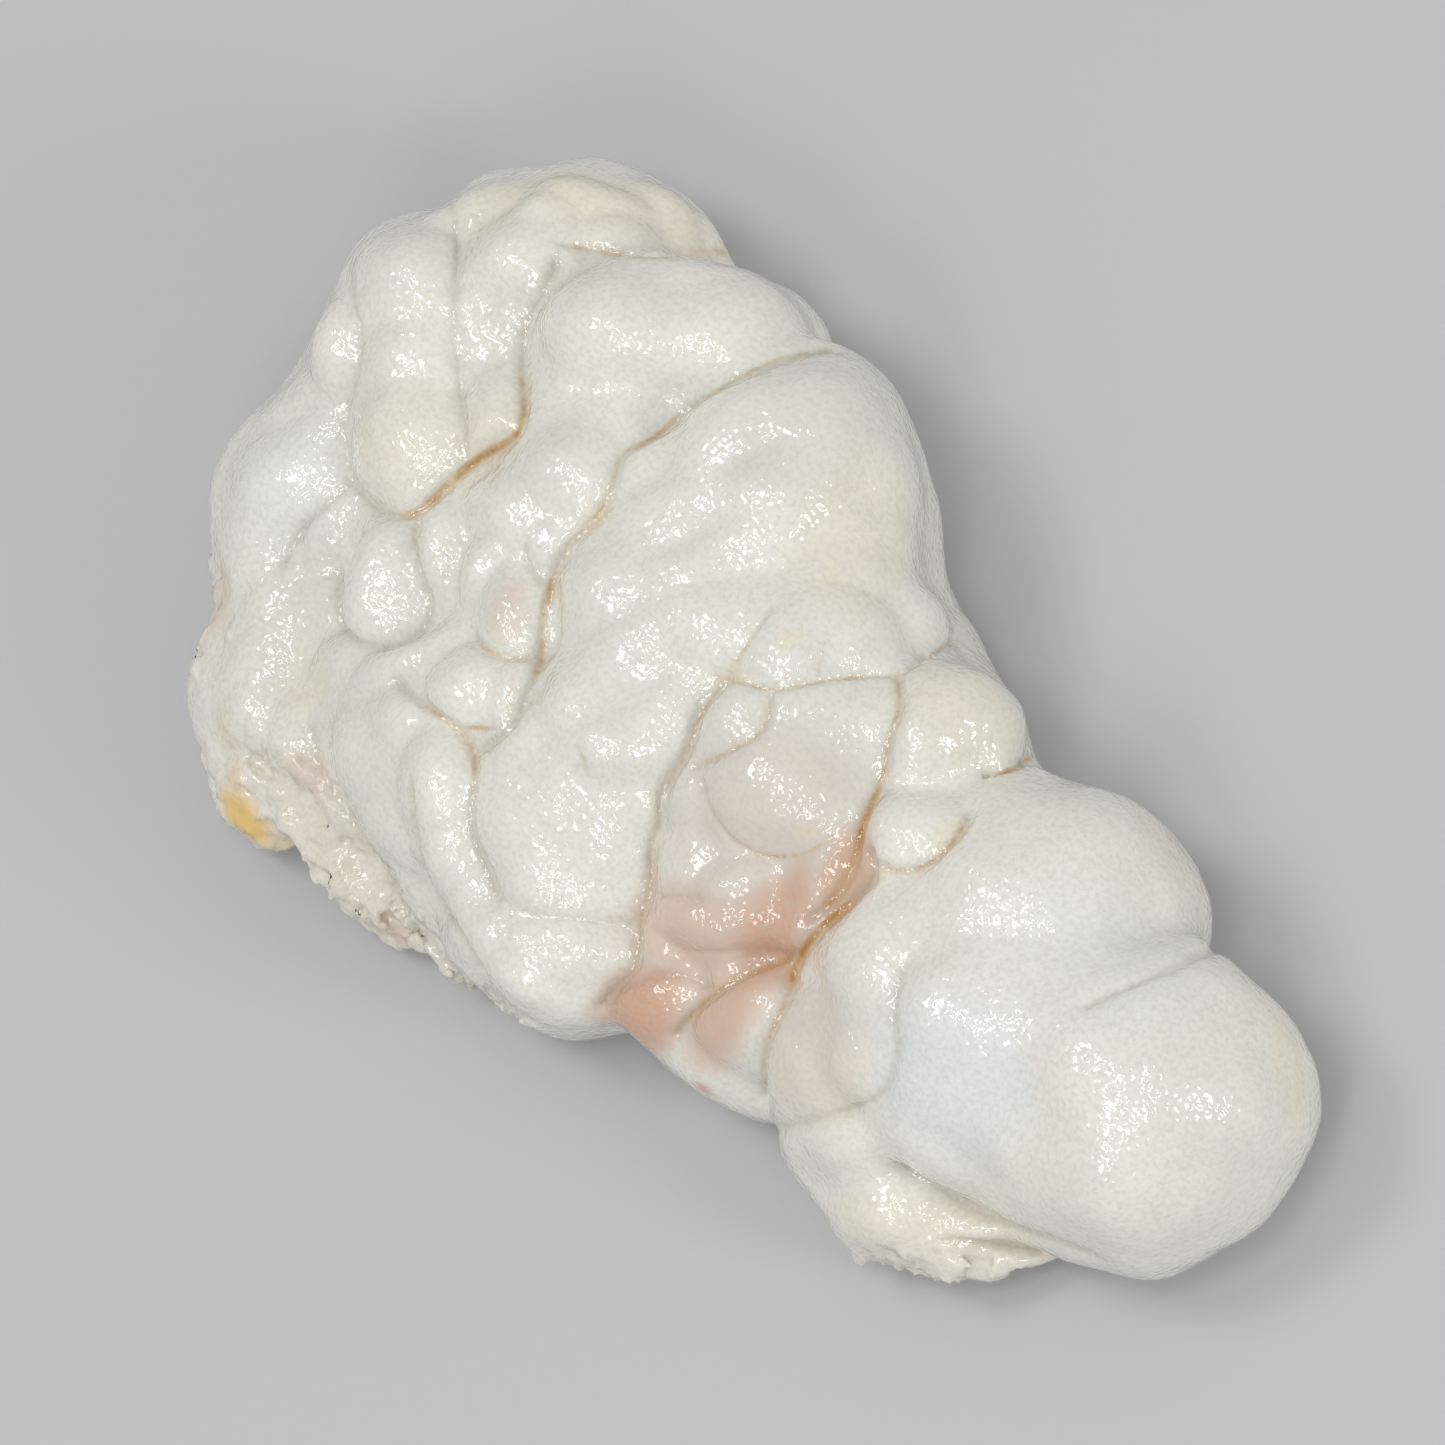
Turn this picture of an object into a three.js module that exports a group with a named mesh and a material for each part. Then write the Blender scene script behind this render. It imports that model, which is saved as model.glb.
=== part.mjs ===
// Botryoidal common opal: one loose specimen, milky white with pale pink in its deepest recess.
//
// The stone is one solid, made the way such a stone grows. Broad level masses carry rounded lobes,
// the lobes carry small knobs, and creases run where the growths meet. All of them are parts of one
// distance field, which is negative inside the stone, and the surface is drawn where it is zero.
//
// Places are given on the view plane, which stands square to the line of sight on the stone's face:
// right and up in millimetres from the middle of the view. The third place is the depth towards the
// eye. It comes from a height above the ground, or from the surface that a knob or crease lies on.
// The finished solid stands in its own frame: +X along its length, +Z up, resting on Z = 0.
import * as THREE from 'three';

// Driving dimensions, in millimetres and degrees.
const SIGHT_FROM_VERTICAL = 30;
const LENGTH_TURN = -46.4;
const MASS_BLEND = 5.0;
const LOBE_BLEND = 1.0;
const KNOB_BLEND = 0.3;
const KNOB_RISE_SHARE = 0.8;
const KNOB_REACH = 1.5;
const KNOB_FLOOR = 0.3;
const KNOB_SKIRT = 0.9;
const CRACK_WIDTH = 0.45;
const LIP_WIDTH = 0.6;
const WARP_DEPTH = 0.22;
const WARP_WAVE = 0.62;
const PEBBLE_SIZE = 2.3;
const PEBBLE_RISE = 0.22;
const BREAK_SIZE = 1.8;
const BREAK_TILT = 0.4;
const BREAK_DEPTH = 0.15;
const BREAK_HEIGHT = 3.0;
const BREAK_HALF_DEPTH = 9.0;
const BREAK_EDGE = 1.6;
const HIDDEN_LUMP_SIZE = 4.4;
const HIDDEN_LUMP_RISE = 0.7;
const HIDDEN_FROM = -0.35;
const SEEN_FROM = 0.15;
const FOOT_MIDDLE = [3.0, -1.5];
const FOOT_HALF = [13.0, 6.5];
const FOOT_FADE = 0.8;
const UNDERSIDE_LIFT = 1.8;
const UNDERSIDE_UNEVEN = 0.7;
const UNDERSIDE_LUMP_SIZE = 5.5;
const FOOT_BLEND = 2.4;
const SKIN_REACH = 3.5;
const GRID_STEP = 1.1;
const GRID_MARGIN = 0.04;
const MOST_MOVE = 0.2;

// The scattered shapes differ from each other only in these start numbers.
const PEBBLE_SEED = 5;
const BREAK_SEED = 13;
const HIDDEN_SEED = 31;
const UNDERSIDE_SEED = 77;

// Broad level masses: right, up, half length along the stone, half width across it, half height,
// height of the middle above the ground.
const MASSES = [
  [-6.4, 8, 13.6, 10.8, 7.8, 3.2],
  [1.6, 2.2, 13.6, 7.1, 9.2, 4.6],
  [11.8, -11.5, 12.8, 7, 7.2, 5],
  [-8.4, -2.3, 8.4, 6.4, 6.8, 4.2],
  [-2.4, -3.2, 6.8, 6.3, 7.4, 4.4],
];

// Lobes: right, up, long half width, short half width, turn of the long one, half depth, height of
// the middle above the ground.
const LOBES = [
  [-11.8, 14.4, 5.8, 4.1, 84, 5, 7.2], // upper left block
  [-14.9, 7.7, 6.7, 5.1, 70, 4.6, 3.8], // left flank
  [-5.5, 18.1, 5.5, 4, -8, 5.4, 6.4], // far top
  [-2.1, 15.1, 6.1, 3.9, -4, 6, 7.6], // upper dome
  [-6, 9.8, 3.4, 2.2, 50, 4.6, 8.6], // tail of the upper dome
  [2.6, 8.1, 6.9, 5.9, 80, 6.2, 7.4], // right shield
  [4, 3.2, 4.5, 4.1, 0, 6.5, 6.8], // foot of the shield
  [-15.3, 1.6, 6, 5.4, 75, 4, 2.8], // left rim
  [-11.9, -4.1, 7.3, 4.5, -38, 3.8, 2.6], // lower left rim
  [-17.8, -2.9, 2.9, 2.5, -20, 2.6, 2.2], // corner of the rim
  [-8.8, -3.3, 6, 5.2, -55, 6.4, 6], // lower dome
  [-6.1, -8.2, 5.4, 4.3, -22, 5.6, 4.8], // lip of the lower dome
  [2.4, -2.2, 6, 4.8, 66, 6.6, 6.8], // middle lobe
  [0.8, -7, 4.8, 3.8, 30, 6.4, 5], // foot of the middle lobe
  [8.4, -0.8, 3.9, 3.2, 20, 5.8, 6.6], // small right lobe
  [13, -7.6, 6.3, 5.3, -20, 5.6, 6.4], // upper finger
  [10.3, -12.8, 5.8, 5.6, 0, 6.4, 6], // middle of the finger
  [17, -15.2, 6.7, 6.4, 65, 6.2, 5.8], // end of the finger
  [4.4, -12.8, 3.8, 3.4, 0, 4.8, 4.8], // dull lobe
  [5.6, -16.2, 4.9, 3.2, -45, 4.4, 3.6], // root of the skirt
  [9.9, -19.5, 5.5, 3.3, -8, 3.2, 2.3], // skirt
  [0.2, -11.6, 4.9, 3.1, -38, 4.6, 3.9], // pink recess
  [-4.2, -1.2, 4.2, 3.4, 65, 6, 8], // bridge to the lower dome
];

// Knobs: right, up, long half width, short half width, turn of the long one, rise.
const KNOBS = [
  // upper left block
  [-12.9, 18, 2.3, 2.1, 60, 1.2], [-12.6, 14.6, 2.2, 1.8, 10, 0.45], [-12.6, 11.2, 2.8, 2.6, 60, 1.6],
  [-9.3, 12.8, 2.5, 1.5, 80, 0.5], [-9.1, 15.6, 1.8, 1.6, 80, 0.8], [-10.2, 16.6, 1.1, 0.9, 0, 0.6],
  [-8.4, 18.4, 2.4, 2, 10, 0.9], [-9.8, 20.5, 1.7, 0.9, 10, 0.5], [-12.4, 20.2, 1.7, 0.8, 10, 0.4],
  [-10.7, 13.9, 0.9, 0.7, 0, 0.4], [-14.3, 16.2, 0.9, 0.7, 60, 0.35],
  // left flank
  [-15.5, 15, 1.7, 1.4, 80, 0.8], [-15.7, 16.8, 1.9, 1.2, 70, 0.7], [-16.6, 12.6, 1.7, 1.3, 50, 0.5],
  [-17.4, 10.1, 2.8, 2, 45, 0.9], [-18.4, 3, 1.7, 0.9, 40, 0.45], [-16.4, 0.4, 1.6, 0.8, -20, 0.4],
  [-18.9, 0.6, 1.4, 0.9, 60, 0.45], [-18.7, 7.4, 1.8, 1.2, 60, 0.4], [-15.9, 7.6, 1.9, 0.8, 65, 0.6],
  [-17.8, 5.2, 1.8, 1.2, 70, 0.4], [-16.2, 4.6, 1.6, 1.2, 0, 0.35],
  // far top
  [-5.2, 21, 2.4, 0.9, -5, 0.5], [-2.2, 20.4, 1.5, 0.9, -50, 0.45], [-7.4, 20.5, 1.2, 0.8, 30, 0.4],
  [-0.8, 19.4, 1, 0.7, -70, 0.35], [-4.2, 19.5, 1.1, 0.8, 40, 0.3],
  // upper dome and its tail
  [-4.5, 15.6, 3.2, 2.9, 0, 1], [0.4, 15.6, 2.9, 2.5, -10, 0.7], [2.2, 16, 1.8, 1.4, -50, 0.35],
  [-1.8, 18, 2.4, 1.2, 0, 0.3], [-4, 12.7, 2.2, 1.4, 20, 0.4], [-6.2, 10.3, 2.2, 1.9, 60, 0.8],
  [-6.7, 13, 1.6, 1.4, 60, 0.3],
  // plateau
  [-8.6, 8.4, 2.2, 1.3, -20, 0.8], [-7.4, 7.3, 1.2, 0.9, 0, 0.5], [-11.3, 7, 1.8, 1.1, 90, 0.9],
  [-9.5, 6.2, 1.3, 1, 80, 0.7], [-8.5, 4.4, 2, 1.5, 90, 1], [-13.6, 5.6, 2.8, 1.8, 85, 1.4],
  [-13.4, 8, 1.2, 0.9, 0, 0.4], [-10.3, 1.5, 1.8, 1.6, 0, 0.8], [-8.5, 1.4, 1.2, 0.8, 75, 0.4],
  [-12.6, 2.6, 2, 0.9, 10, 0.4], [-15.6, 2.2, 2, 1.1, 10, 0.4],
  // lower left ridge
  [-14.4, -1.6, 2.4, 1.9, -40, 0.9], [-13.4, 0.2, 1.8, 1.2, 0, 0.5], [-13.6, -3.9, 1.9, 1.4, -60, 0.7],
  [-12.7, -6.2, 2, 0.9, -70, 0.6], [-11.4, -8.8, 2.2, 0.8, -55, 0.5], [-11.6, -2.6, 2.4, 1.4, -85, 0.9],
  [-10.9, -5.6, 1.8, 1.3, -60, 0.8], [-10.2, -7.8, 1.2, 0.9, -50, 0.5],
  // lower dome
  [-7.4, -3.6, 2.9, 2.6, 80, 0.8], [-4.8, -4.8, 2.6, 2, 80, 0.6], [-8.4, -1.2, 1.8, 1.2, 30, 0.5],
  [-3.2, -3.6, 0.9, 0.8, 0, 0.3], [-7.4, -6.3, 2, 1.4, 0, 0.4], [-4.6, -6.9, 1.6, 1.2, 0, 0.3],
  [-9.5, -8.5, 1.3, 1.1, 0, 0.5], [-8.1, -8.8, 0.9, 0.8, 0, 0.4], [-5.4, -9.3, 2.2, 1.5, -10, 0.6],
  [-7.6, -10.6, 2.4, 0.9, -25, 0.4], [-5.8, -11.2, 1.5, 1.1, 0, 0.4],
  // right shield
  [0.6, 12.2, 3.6, 1.9, 25, 0.6], [-2.2, 8.3, 2.2, 1.6, 30, 0.5], [4.8, 12.2, 3, 2.6, -40, 0.5],
  [1, 7.4, 2.2, 1.2, 20, 0.5], [-1.8, 6, 2.2, 1.1, 10, 0.4], [-4.6, 5.5, 1.8, 1.6, 0, 0.5],
  [6, 6.6, 2.3, 1.6, 10, 0.6], [6.6, 10.2, 1.8, 1.6, 0, 0.4], [-3.8, 2.6, 1.8, 1.6, 60, 0.5],
  [-5.4, 1.2, 1.8, 1.3, 60, 0.4], [2.6, 3.2, 1.8, 1.3, 30, 0.4], [5.4, 3.6, 1.9, 1.4, 0, 0.4],
  [8, 4.2, 1.5, 1.4, 0, 0.4], [-1, 4.4, 2, 1.3, -10, 0.3], [-2.9, 10.4, 1.5, 1.2, 40, 0.4],
  [2, 9.6, 2.6, 1.4, 20, 0.35], [-2.6, 0.2, 1.6, 1.3, 70, 0.4], [-4.6, -1, 1.8, 1.4, 0, 0.5],
  // middle lobe
  [0.4, 0.3, 1.5, 1.2, 40, 0.65], [2.2, -2.4, 3.1, 2.9, 0, 0.6], [3.9, 0.3, 2.3, 1.5, 0, 0.35],
  [-1.3, -3.4, 1.6, 0.9, 65, 0.5], [-1.5, -5.6, 1.4, 1.2, 0, 0.5], [0.7, -6.5, 1.8, 0.9, 5, 0.45],
  [-1.3, -7.9, 1.7, 1, -5, 0.35], [1.4, -8, 2, 1, 25, 0.25], [3.4, -6, 1.6, 1.2, 45, 0.3],
  [-2.6, -9, 1, 0.8, 90, 0.3],
  // pink recess
  [-3.1, -11.4, 1.9, 1.4, 20, 0.5], [0.8, -11.4, 2.3, 1.5, 35, 1], [-0.4, -14.2, 1.5, 0.9, -35, 0.3],
  // small right lobes
  [9, 1.2, 2.4, 2, 0, 0.5], [11, 0, 1.9, 1.7, 0, 0.5], [8, -1, 1.6, 1.4, 0, 0.3],
  [7.7, -4.3, 2.1, 1.8, -10, 1.1],
  // finger
  [10.2, -6.2, 2.6, 2.2, 0, 0.5], [13.4, -5.6, 3.2, 2.6, -30, 0.3], [17.6, -7.8, 2.4, 2.2, 0, 0.5],
  [7, -8.6, 2.2, 1.4, 30, 0.3], [5.6, -9.8, 1.9, 1.5, 45, 0.3], [4.2, -13.4, 2.5, 2.3, 0, 0.6],
  [10.2, -12.2, 3.6, 3.4, 0, 0.5], [10.8, -15.8, 2.8, 2, 0, 0.4], [17.4, -15.4, 5.2, 5.2, 0, 0.5],
  [14, -12.6, 3, 2.6, 0, 0.3], [5.4, -17.2, 1.8, 1.5, -30, 0.6], [6.7, -19.4, 1.7, 1.4, 0, 0.6],
  [9, -17.6, 2.2, 1.1, -30, 0.3], [10.4, -20.2, 2, 0.6, 12, 0.5], [14.2, -18.9, 2.8, 1.5, -15, 0.3],
];

// Hollows: right, up, long half width, short half width, turn of the long one, depth.
const HOLLOWS = [
  [-2, -11.6, 3, 2, 35, 0.2], // pink recess
  [4.4, -7.4, 3.6, 1.5, 48, 0.35], // valley beside the middle lobe
  [-9.6, 10.6, 2.2, 1.2, 30, 0.4], // under the upper left block
  [-7.1, 3.6, 2.2, 1, 88, 0.4], // under the edge of the plateau
  [-12, 3.6, 1.8, 1.2, 30, 0.3], // beside the egg
  [-10.2, -0.9, 2.6, 1.1, -30, 0.4], // above the lower dome
  [-17.4, -3.2, 2.4, 1.4, -30, 0.9], // pit in the broken rim
  [-14.8, -5.6, 2.6, 1.1, -40, 0.7], // second pit in the rim
  [-12.2, -8.4, 2.2, 0.9, -45, 0.5], // third pit in the rim
  [11.6, -20.9, 2.6, 0.8, -12, 0.6], // under the lip of the skirt
];

// Broken parts of the edge: right, up, long half width, short half width, turn of the long one.
const BREAKS = [
  [-17.8, -2.8, 4, 3, -30], // left corner of the rim
  [-14.2, -7, 4.6, 2.2, -42], // lower left rim
  [-9.6, -11.2, 3.6, 1.2, -28], // rim under the lower dome
  [-20.8, 4.2, 3.6, 1.6, 90], // left face of the rim
  [8.8, -21.9, 4.8, 1, -6], // skirt
];

// Creases: the line from place to place, how deep the crack is, and how deep the stone rounds down
// beside it.
const CREASES = [
  // between the upper dome and the shield
  [[[4.4, 14.9], [2.4, 14.6], [1, 14], [-0.4, 13.1], [-1.4, 12.6], [-2.1, 11.9], [-3, 11.2],
    [-4.1, 10.8], [-4.4, 9.6], [-4.8, 8.5], [-5.4, 7.8], [-6.1, 7.2], [-6.5, 6.3], [-6.9, 5.4],
    [-7.1, 4], [-7.2, 2.6], [-7.6, 1.6], [-8, 0.6], [-8.4, -0.2], [-9.8, -1.2]], 0.45, 0.35],
  // right of the upper left block and under it
  [[[-6.6, 18.4], [-7.2, 17.2], [-7.9, 16], [-8.1, 14.4], [-7.9, 12.8], [-8.1, 11.5], [-9.4, 10.8],
    [-10.3, 10.2], [-11.4, 9.1], [-12.2, 8.3], [-13.2, 8.3], [-14.2, 8.7], [-14.9, 9.8]], 0.5, 0.35],
  // inside the upper left block
  [[[-10.9, 21], [-10.6, 19.4], [-10.7, 17.8], [-10.8, 16], [-10.6, 14.2], [-10.4, 12.6], [-10.3, 11.2],
    [-10.2, 10.4]], 0.14, 0.28],
  // left of the upper left block
  [[[-14.8, 18.6], [-14.8, 17], [-14.4, 15.6], [-14.6, 14], [-15.1, 12.4], [-15.1, 10.8],
    [-14.9, 9.8]], 0.1, 0.25],
  // across the left flank
  [[[-17.6, 6.2], [-16.8, 7.8], [-15.9, 8.8], [-14.9, 9.6]], 0.1, 0.35],
  // round the egg on the plateau
  [[[-12.2, 8.3], [-12.3, 7.1], [-12, 5.8], [-11.6, 4.8], [-11.9, 3.8], [-12.8, 3.1], [-13.8, 3],
    [-14.9, 3.3], [-15.4, 4.4], [-15.4, 6]], 0.25, 0.3],
  // beside the right knob of the plateau
  [[[-7.9, 7], [-7.8, 6.4], [-7, 5.4]], 0.2, 0.2],
  // under the right knob of the plateau
  [[[-9.9, 3.4], [-9.2, 2.7], [-8.2, 2.5], [-7.3, 2.6]], 0.25, 0.25],
  // foot of the plateau
  [[[-10.6, -0.2], [-9.6, -0.2], [-8.6, -0.3]], 0.1, 0.2],
  // beside the last knob of the plateau
  [[[-8.2, 2.4], [-8.5, 1.2], [-8.6, 0]], 0.05, 0.1],
  // above and left of the lower dome
  [[[-13, 1.6], [-12.2, 0.9], [-11.2, 0.2], [-10.3, -0.5], [-9.9, -1.2], [-9.9, -2.2], [-10.1, -3.4],
    [-10, -4.6], [-9.4, -5.8], [-9, -7]], 0.3, 0.35],
  // under the lower dome
  [[[-9, -7], [-7.6, -7.7], [-5.6, -7.9], [-3.5, -8.1]], 0.05, 0.25],
  // between the two lower ridges
  [[[-12.5, -2.4], [-12.4, -3.8], [-12.1, -5.2], [-11.6, -6.6], [-10.6, -8.2],
    [-9.6, -9.8]], 0.15, 0.3],
  // between the lower ridge and the broken rim
  [[[-16.5, -0.2], [-16.2, -1.6], [-15.4, -3], [-14.3, -4.7], [-13.3, -6], [-12.9, -7.2], [-11.9, -8.6],
    [-10.4, -10.2], [-9.4, -11.2]], 0.2, 0.4],
  // pit above the lower dome
  [[[-5.8, -1], [-5.5, -1.5], [-5.5, -1.9]], 0.12, 0.1],
  // between the shield and the middle lobe
  [[[0.2, 1.7], [-0.5, 0.9], [-1, 0], [-1.4, -1.2], [-2, -2.2], [-2.5, -3], [-2.5, -4], [-2.9, -4.8],
    [-2.8, -6], [-2.9, -6.8], [-3.3, -7.8], [-3.3, -9], [-3.5, -9.8], [-4.8, -11.2]], 0.45, 0.3],
  // top of the middle lobe
  [[[-0.2, 1.8], [0.8, 1.6], [2, 1.2], [3.8, 1.6], [5.5, 1.8], [7.1, 1.8], [8, 2.4],
    [9.2, 3.3]], 0.22, 0.1],
  // right of the middle lobe
  [[[7, 1.8], [7.1, 0.6], [6.6, -0.6], [6.4, -2.2], [6, -3.2], [5.6, -4], [5.4, -5], [5, -6.2],
    [4.5, -7.1], [3.6, -7.8]], 0.45, 0.3],
  // between the middle lobe and the finger
  [[[5.9, -5.2], [6.1, -6.2], [5.4, -7], [4.2, -7.9], [3.4, -8.8], [2.9, -9.7], [2.7, -10.8],
    [2.1, -12], [1.6, -13.2], [1.7, -14.8]], 0.45, 0.35],
  // across the pink recess
  [[[3, -9.2], [1.6, -9.8], [0.2, -10.5], [-0.9, -11.3], [-1.8, -12.4]], 0.3, 0.3],
  // top of the pink recess
  [[[-4.6, -10.9], [-3.4, -10.4], [-2.2, -10], [-1.2, -10.2], [-0.4, -10.6]], 0.15, 0.2],
  // round the small bead
  [[[1.9, 1.1], [1.8, -0.2], [0.8, -0.9], [-0.2, -1.4], [-1, -1.8]], 0.25, 0.15],
  // arc under the middle dome
  [[[-0.7, -2.4], [-0.4, -3.6], [0.4, -4.6], [1.6, -5.3], [2.8, -5.4], [4, -4.9],
    [5, -3.9]], 0.12, 0.15],
  // lower left of the middle lobe
  [[[-2.9, -6.9], [-1.9, -6.9], [-0.9, -7]], 0.1, 0.15],
  // foot of the middle lobe
  [[[-2.6, -8.4], [-1.6, -9], [-0.4, -9.1], [1, -9]], 0.08, 0.08],
  // under the small right lobe
  [[[6.1, -5.6], [7.2, -6], [8.4, -5.6], [9.3, -4.7], [9.8, -3.7]], 0.25, 0.3],
  // between the small right lobe and the finger
  [[[10.6, -2.2], [11.6, -1.9], [12.4, -1.3]], 0.25, 0.25],
  // fold at the far top
  [[[-6.6, 19.2], [-5, 18.9], [-3.6, 18.6], [-2, 18.6], [-0.8, 19], [0.4, 18.8]], 0.12, 0.16],
  // over the skirt
  [[[7.2, -17.6], [8.8, -18.7], [10.4, -19.6], [12.4, -20.3], [14.6, -21.1]], 0.25, 0.35],
  // under the ledge of the skirt
  [[[8.8, -20.6], [10.6, -20.7], [12.6, -21]], 0.2, 0.3],
  // between the two ends of the finger
  [[[19.9, -9], [18.2, -9.6], [16.4, -10.4], [14.6, -11.2]], 0.1, 0.3],
  // round the dull lobe
  [[[2.2, -16.2], [3.6, -15.9], [5.2, -15.4], [6.6, -14.7], [7, -13.2], [6.8, -11.4],
    [7.2, -9.8]], 0.12, 0.25],
  // first crack in the foot of the shield
  [[[1.9, 4.4], [1, 3.1], [0.2, 1.9]], 0.12, 0.08],
  // second crack in the foot of the shield
  [[[4.1, 3.2], [3.9, 2.4], [3.8, 1.6]], 0.12, 0.05],
];

// Ends of the long middle line: right, up, height above the ground.
const SPINE_ENDS = [[-7, 7, 5], [15, -13, 5]];

// The grid, in the frame that the stone stands in, reaches past the stone on every side.
const GRID_LOW = [-28, -20, -0.55];
const GRID_HIGH = [42, 18, 18];

// Axes of the view plane frame. A point is [right, up, depth].
const radians = THREE.MathUtils.degToRad;
const dot = (a, b) => a[0] * b[0] + a[1] * b[1] + a[2] * b[2];
const plus = (a, b, share = 1) => [a[0] + share * b[0], a[1] + share * b[1], a[2] + share * b[2]];
const between = (a, b, share) => a.map((value, axis) => value + share * (b[axis] - value));
const cross = (a, b) => [
  a[1] * b[2] - a[2] * b[1],
  a[2] * b[0] - a[0] * b[2],
  a[0] * b[1] - a[1] * b[0],
];
const unit = (a) => a.map((value) => value / Math.hypot(...a));

const lean = radians(SIGHT_FROM_VERTICAL);
const turn = radians(LENGTH_TURN);
const SIGHT = [0, 0, 1];
const LENGTHWAYS = [Math.cos(turn) * Math.cos(lean), Math.sin(turn) * Math.cos(lean), Math.sin(lean)];
const UPWARDS = [-Math.cos(turn) * Math.sin(lean), -Math.sin(turn) * Math.sin(lean), Math.cos(lean)];
const SIDEWAYS = cross(UPWARDS, LENGTHWAYS);

const depthAtHeight = (right, up, height) => (height - UPWARDS[0] * right - UPWARDS[1] * up) / UPWARDS[2];

// The lesser and the greater of two values, rounded where they are nearly equal. The lesser of two
// distances joins two solids, and the greater keeps what they share.
function softLesser(a, b, blend) {
  const share = Math.max(blend - Math.abs(a - b), 0) / blend;
  return Math.min(a, b) - share * share * blend / 4;
}

const softGreater = (a, b, blend) => -softLesser(-a, -b, blend);

// An oval is an ellipsoid: a middle and three axes, each divided by its half width.
function oval(middle, facing, halfLong, halfShort, halfDeep, turnDegrees) {
  const out = unit(facing);
  const angle = radians(turnDegrees);
  const heading = [Math.cos(angle), Math.sin(angle), 0];
  const along = unit(plus(heading, out, -dot(heading, out)));
  const across = cross(out, along);
  const halves = [halfLong, halfShort, halfDeep];
  return { middle, rows: [along, across, out].map((axis, n) => axis.map((value) => value / halves[n])) };
}

function ovalDistance(point, { middle, rows }) {
  const offset = plus(point, middle, -1);
  const scaled = rows.map((row) => dot(row, offset));
  const reach = Math.hypot(...scaled) + 1e-9;
  const slope = [0, 1, 2].map((i) => dot(scaled, rows.map((row) => row[i])));
  return reach * (reach - 1) / (Math.hypot(...slope) + 1e-9);
}

// Slow waves that take the ruled look off the ovals. The numbers in them only set where the waves lie.
function warped([right, up, depth]) {
  const [alongRight, alongUp, alongDepth] = [right, up, depth].map((value) => WARP_WAVE * value);
  const waves = [
    Math.sin(alongUp + 1.3) + 0.6 * Math.sin(1.9 * alongDepth + 0.4 * right + 2.1),
    Math.sin(1.1 * alongDepth + 0.7) + 0.6 * Math.sin(2.1 * alongRight + 0.5 * depth + 0.3),
    Math.sin(0.9 * alongRight + 2.9) + 0.6 * Math.sin(1.8 * alongUp + 0.4 * right + 1.1),
  ];
  return plus([right, up, depth], waves, WARP_DEPTH);
}

const masses = MASSES.map(([right, up, long, short, tall, height]) =>
  oval([right, up, depthAtHeight(right, up, height)], UPWARDS, long, short, tall, LENGTH_TURN));
const lobes = LOBES.map(([right, up, long, short, turned, deep, height]) =>
  oval([right, up, depthAtHeight(right, up, height)], SIGHT, long, short, deep, turned));

function bodyDistance(point) {
  const place = warped(point);
  let distance = ovalDistance(place, masses[0]);
  for (const mass of masses.slice(1)) distance = softLesser(distance, ovalDistance(place, mass), MASS_BLEND);
  for (const lobe of lobes) distance = softLesser(distance, ovalDistance(place, lobe), LOBE_BLEND);
  return distance;
}

// The depth at which the line of sight first meets a surface, found by short steps down from above.
function depthOnSurface(right, up, distanceTo) {
  const startDepth = 30;
  const stepCount = 90;
  const stepShare = 0.7;
  const [mostBack, mostAhead] = [2, 6];
  let depth = startDepth;
  for (let i = 0; i < stepCount; i += 1) {
    depth -= stepShare * THREE.MathUtils.clamp(distanceTo([right, up, depth]), -mostBack, mostAhead);
  }
  return depth;
}

function slopeAt(point, distanceTo, step = 0.05) {
  return [[step, 0, 0], [0, step, 0], [0, 0, step]].map(
    (offset) => (distanceTo(plus(point, offset)) - distanceTo(plus(point, offset, -1))) / (2 * step));
}

// A seated oval lies on the body, with its axes along the surface there. Its share is 1 at the
// middle and 0 at its rim, and falls below 0 outside.
function seatedOval([right, up, long, short, turned, amount]) {
  const middle = [right, up, depthOnSurface(right, up, bodyDistance)];
  const reach = KNOB_REACH * Math.max(long, short);
  return { ...oval(middle, slopeAt(middle, bodyDistance), long, short, reach, turned), amount };
}

function shareOf(point, { middle, rows }) {
  const offset = plus(point, middle, -1);
  return 1 - rows.reduce((sum, row) => sum + dot(row, offset) ** 2, 0);
}

const knobs = KNOBS.map(seatedOval);
const hollows = HOLLOWS.map(seatedOval);

// Knobs meet each other in sharp valleys, and their skirts fade out over the low skin between groups.
function knobbedDistance(point) {
  let relief = -Infinity;
  for (const knob of knobs) {
    const rise = KNOB_RISE_SHARE * knob.amount * shareOf(point, knob);
    relief = relief === -Infinity ? rise : softGreater(relief, rise, KNOB_BLEND);
  }
  relief = softGreater(relief, -KNOB_FLOOR, KNOB_SKIRT);
  let depth = 0;
  for (const hollow of hollows) depth += hollow.amount * Math.max(shareOf(point, hollow), 0) ** 2;
  return bodyDistance(point) - relief + depth;
}

// Cuts each corner of a line, a quarter of the way along on both sides.
function cornersCut(line) {
  const quarters = line.slice(1).flatMap((to, n) => [between(line[n], to, 0.25), between(line[n], to, 0.75)]);
  return [line[0], ...quarters, line[line.length - 1]];
}

// A crease is a crack along a line on the surface. The stone rounds down to it over wider lips.
const creases = CREASES.map(([places, crack, lip]) => {
  const bent = cornersCut(cornersCut(places));
  const line = bent.map(([right, up]) => [right, up, depthOnSurface(right, up, knobbedDistance)]);
  const middle = line[Math.floor(line.length / 2)];
  const reach = Math.max(...line.map((place) => Math.hypot(...plus(place, middle, -1)))) + 5 * LIP_WIDTH;
  return { line, crack, lip, middle, reach };
});

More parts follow.
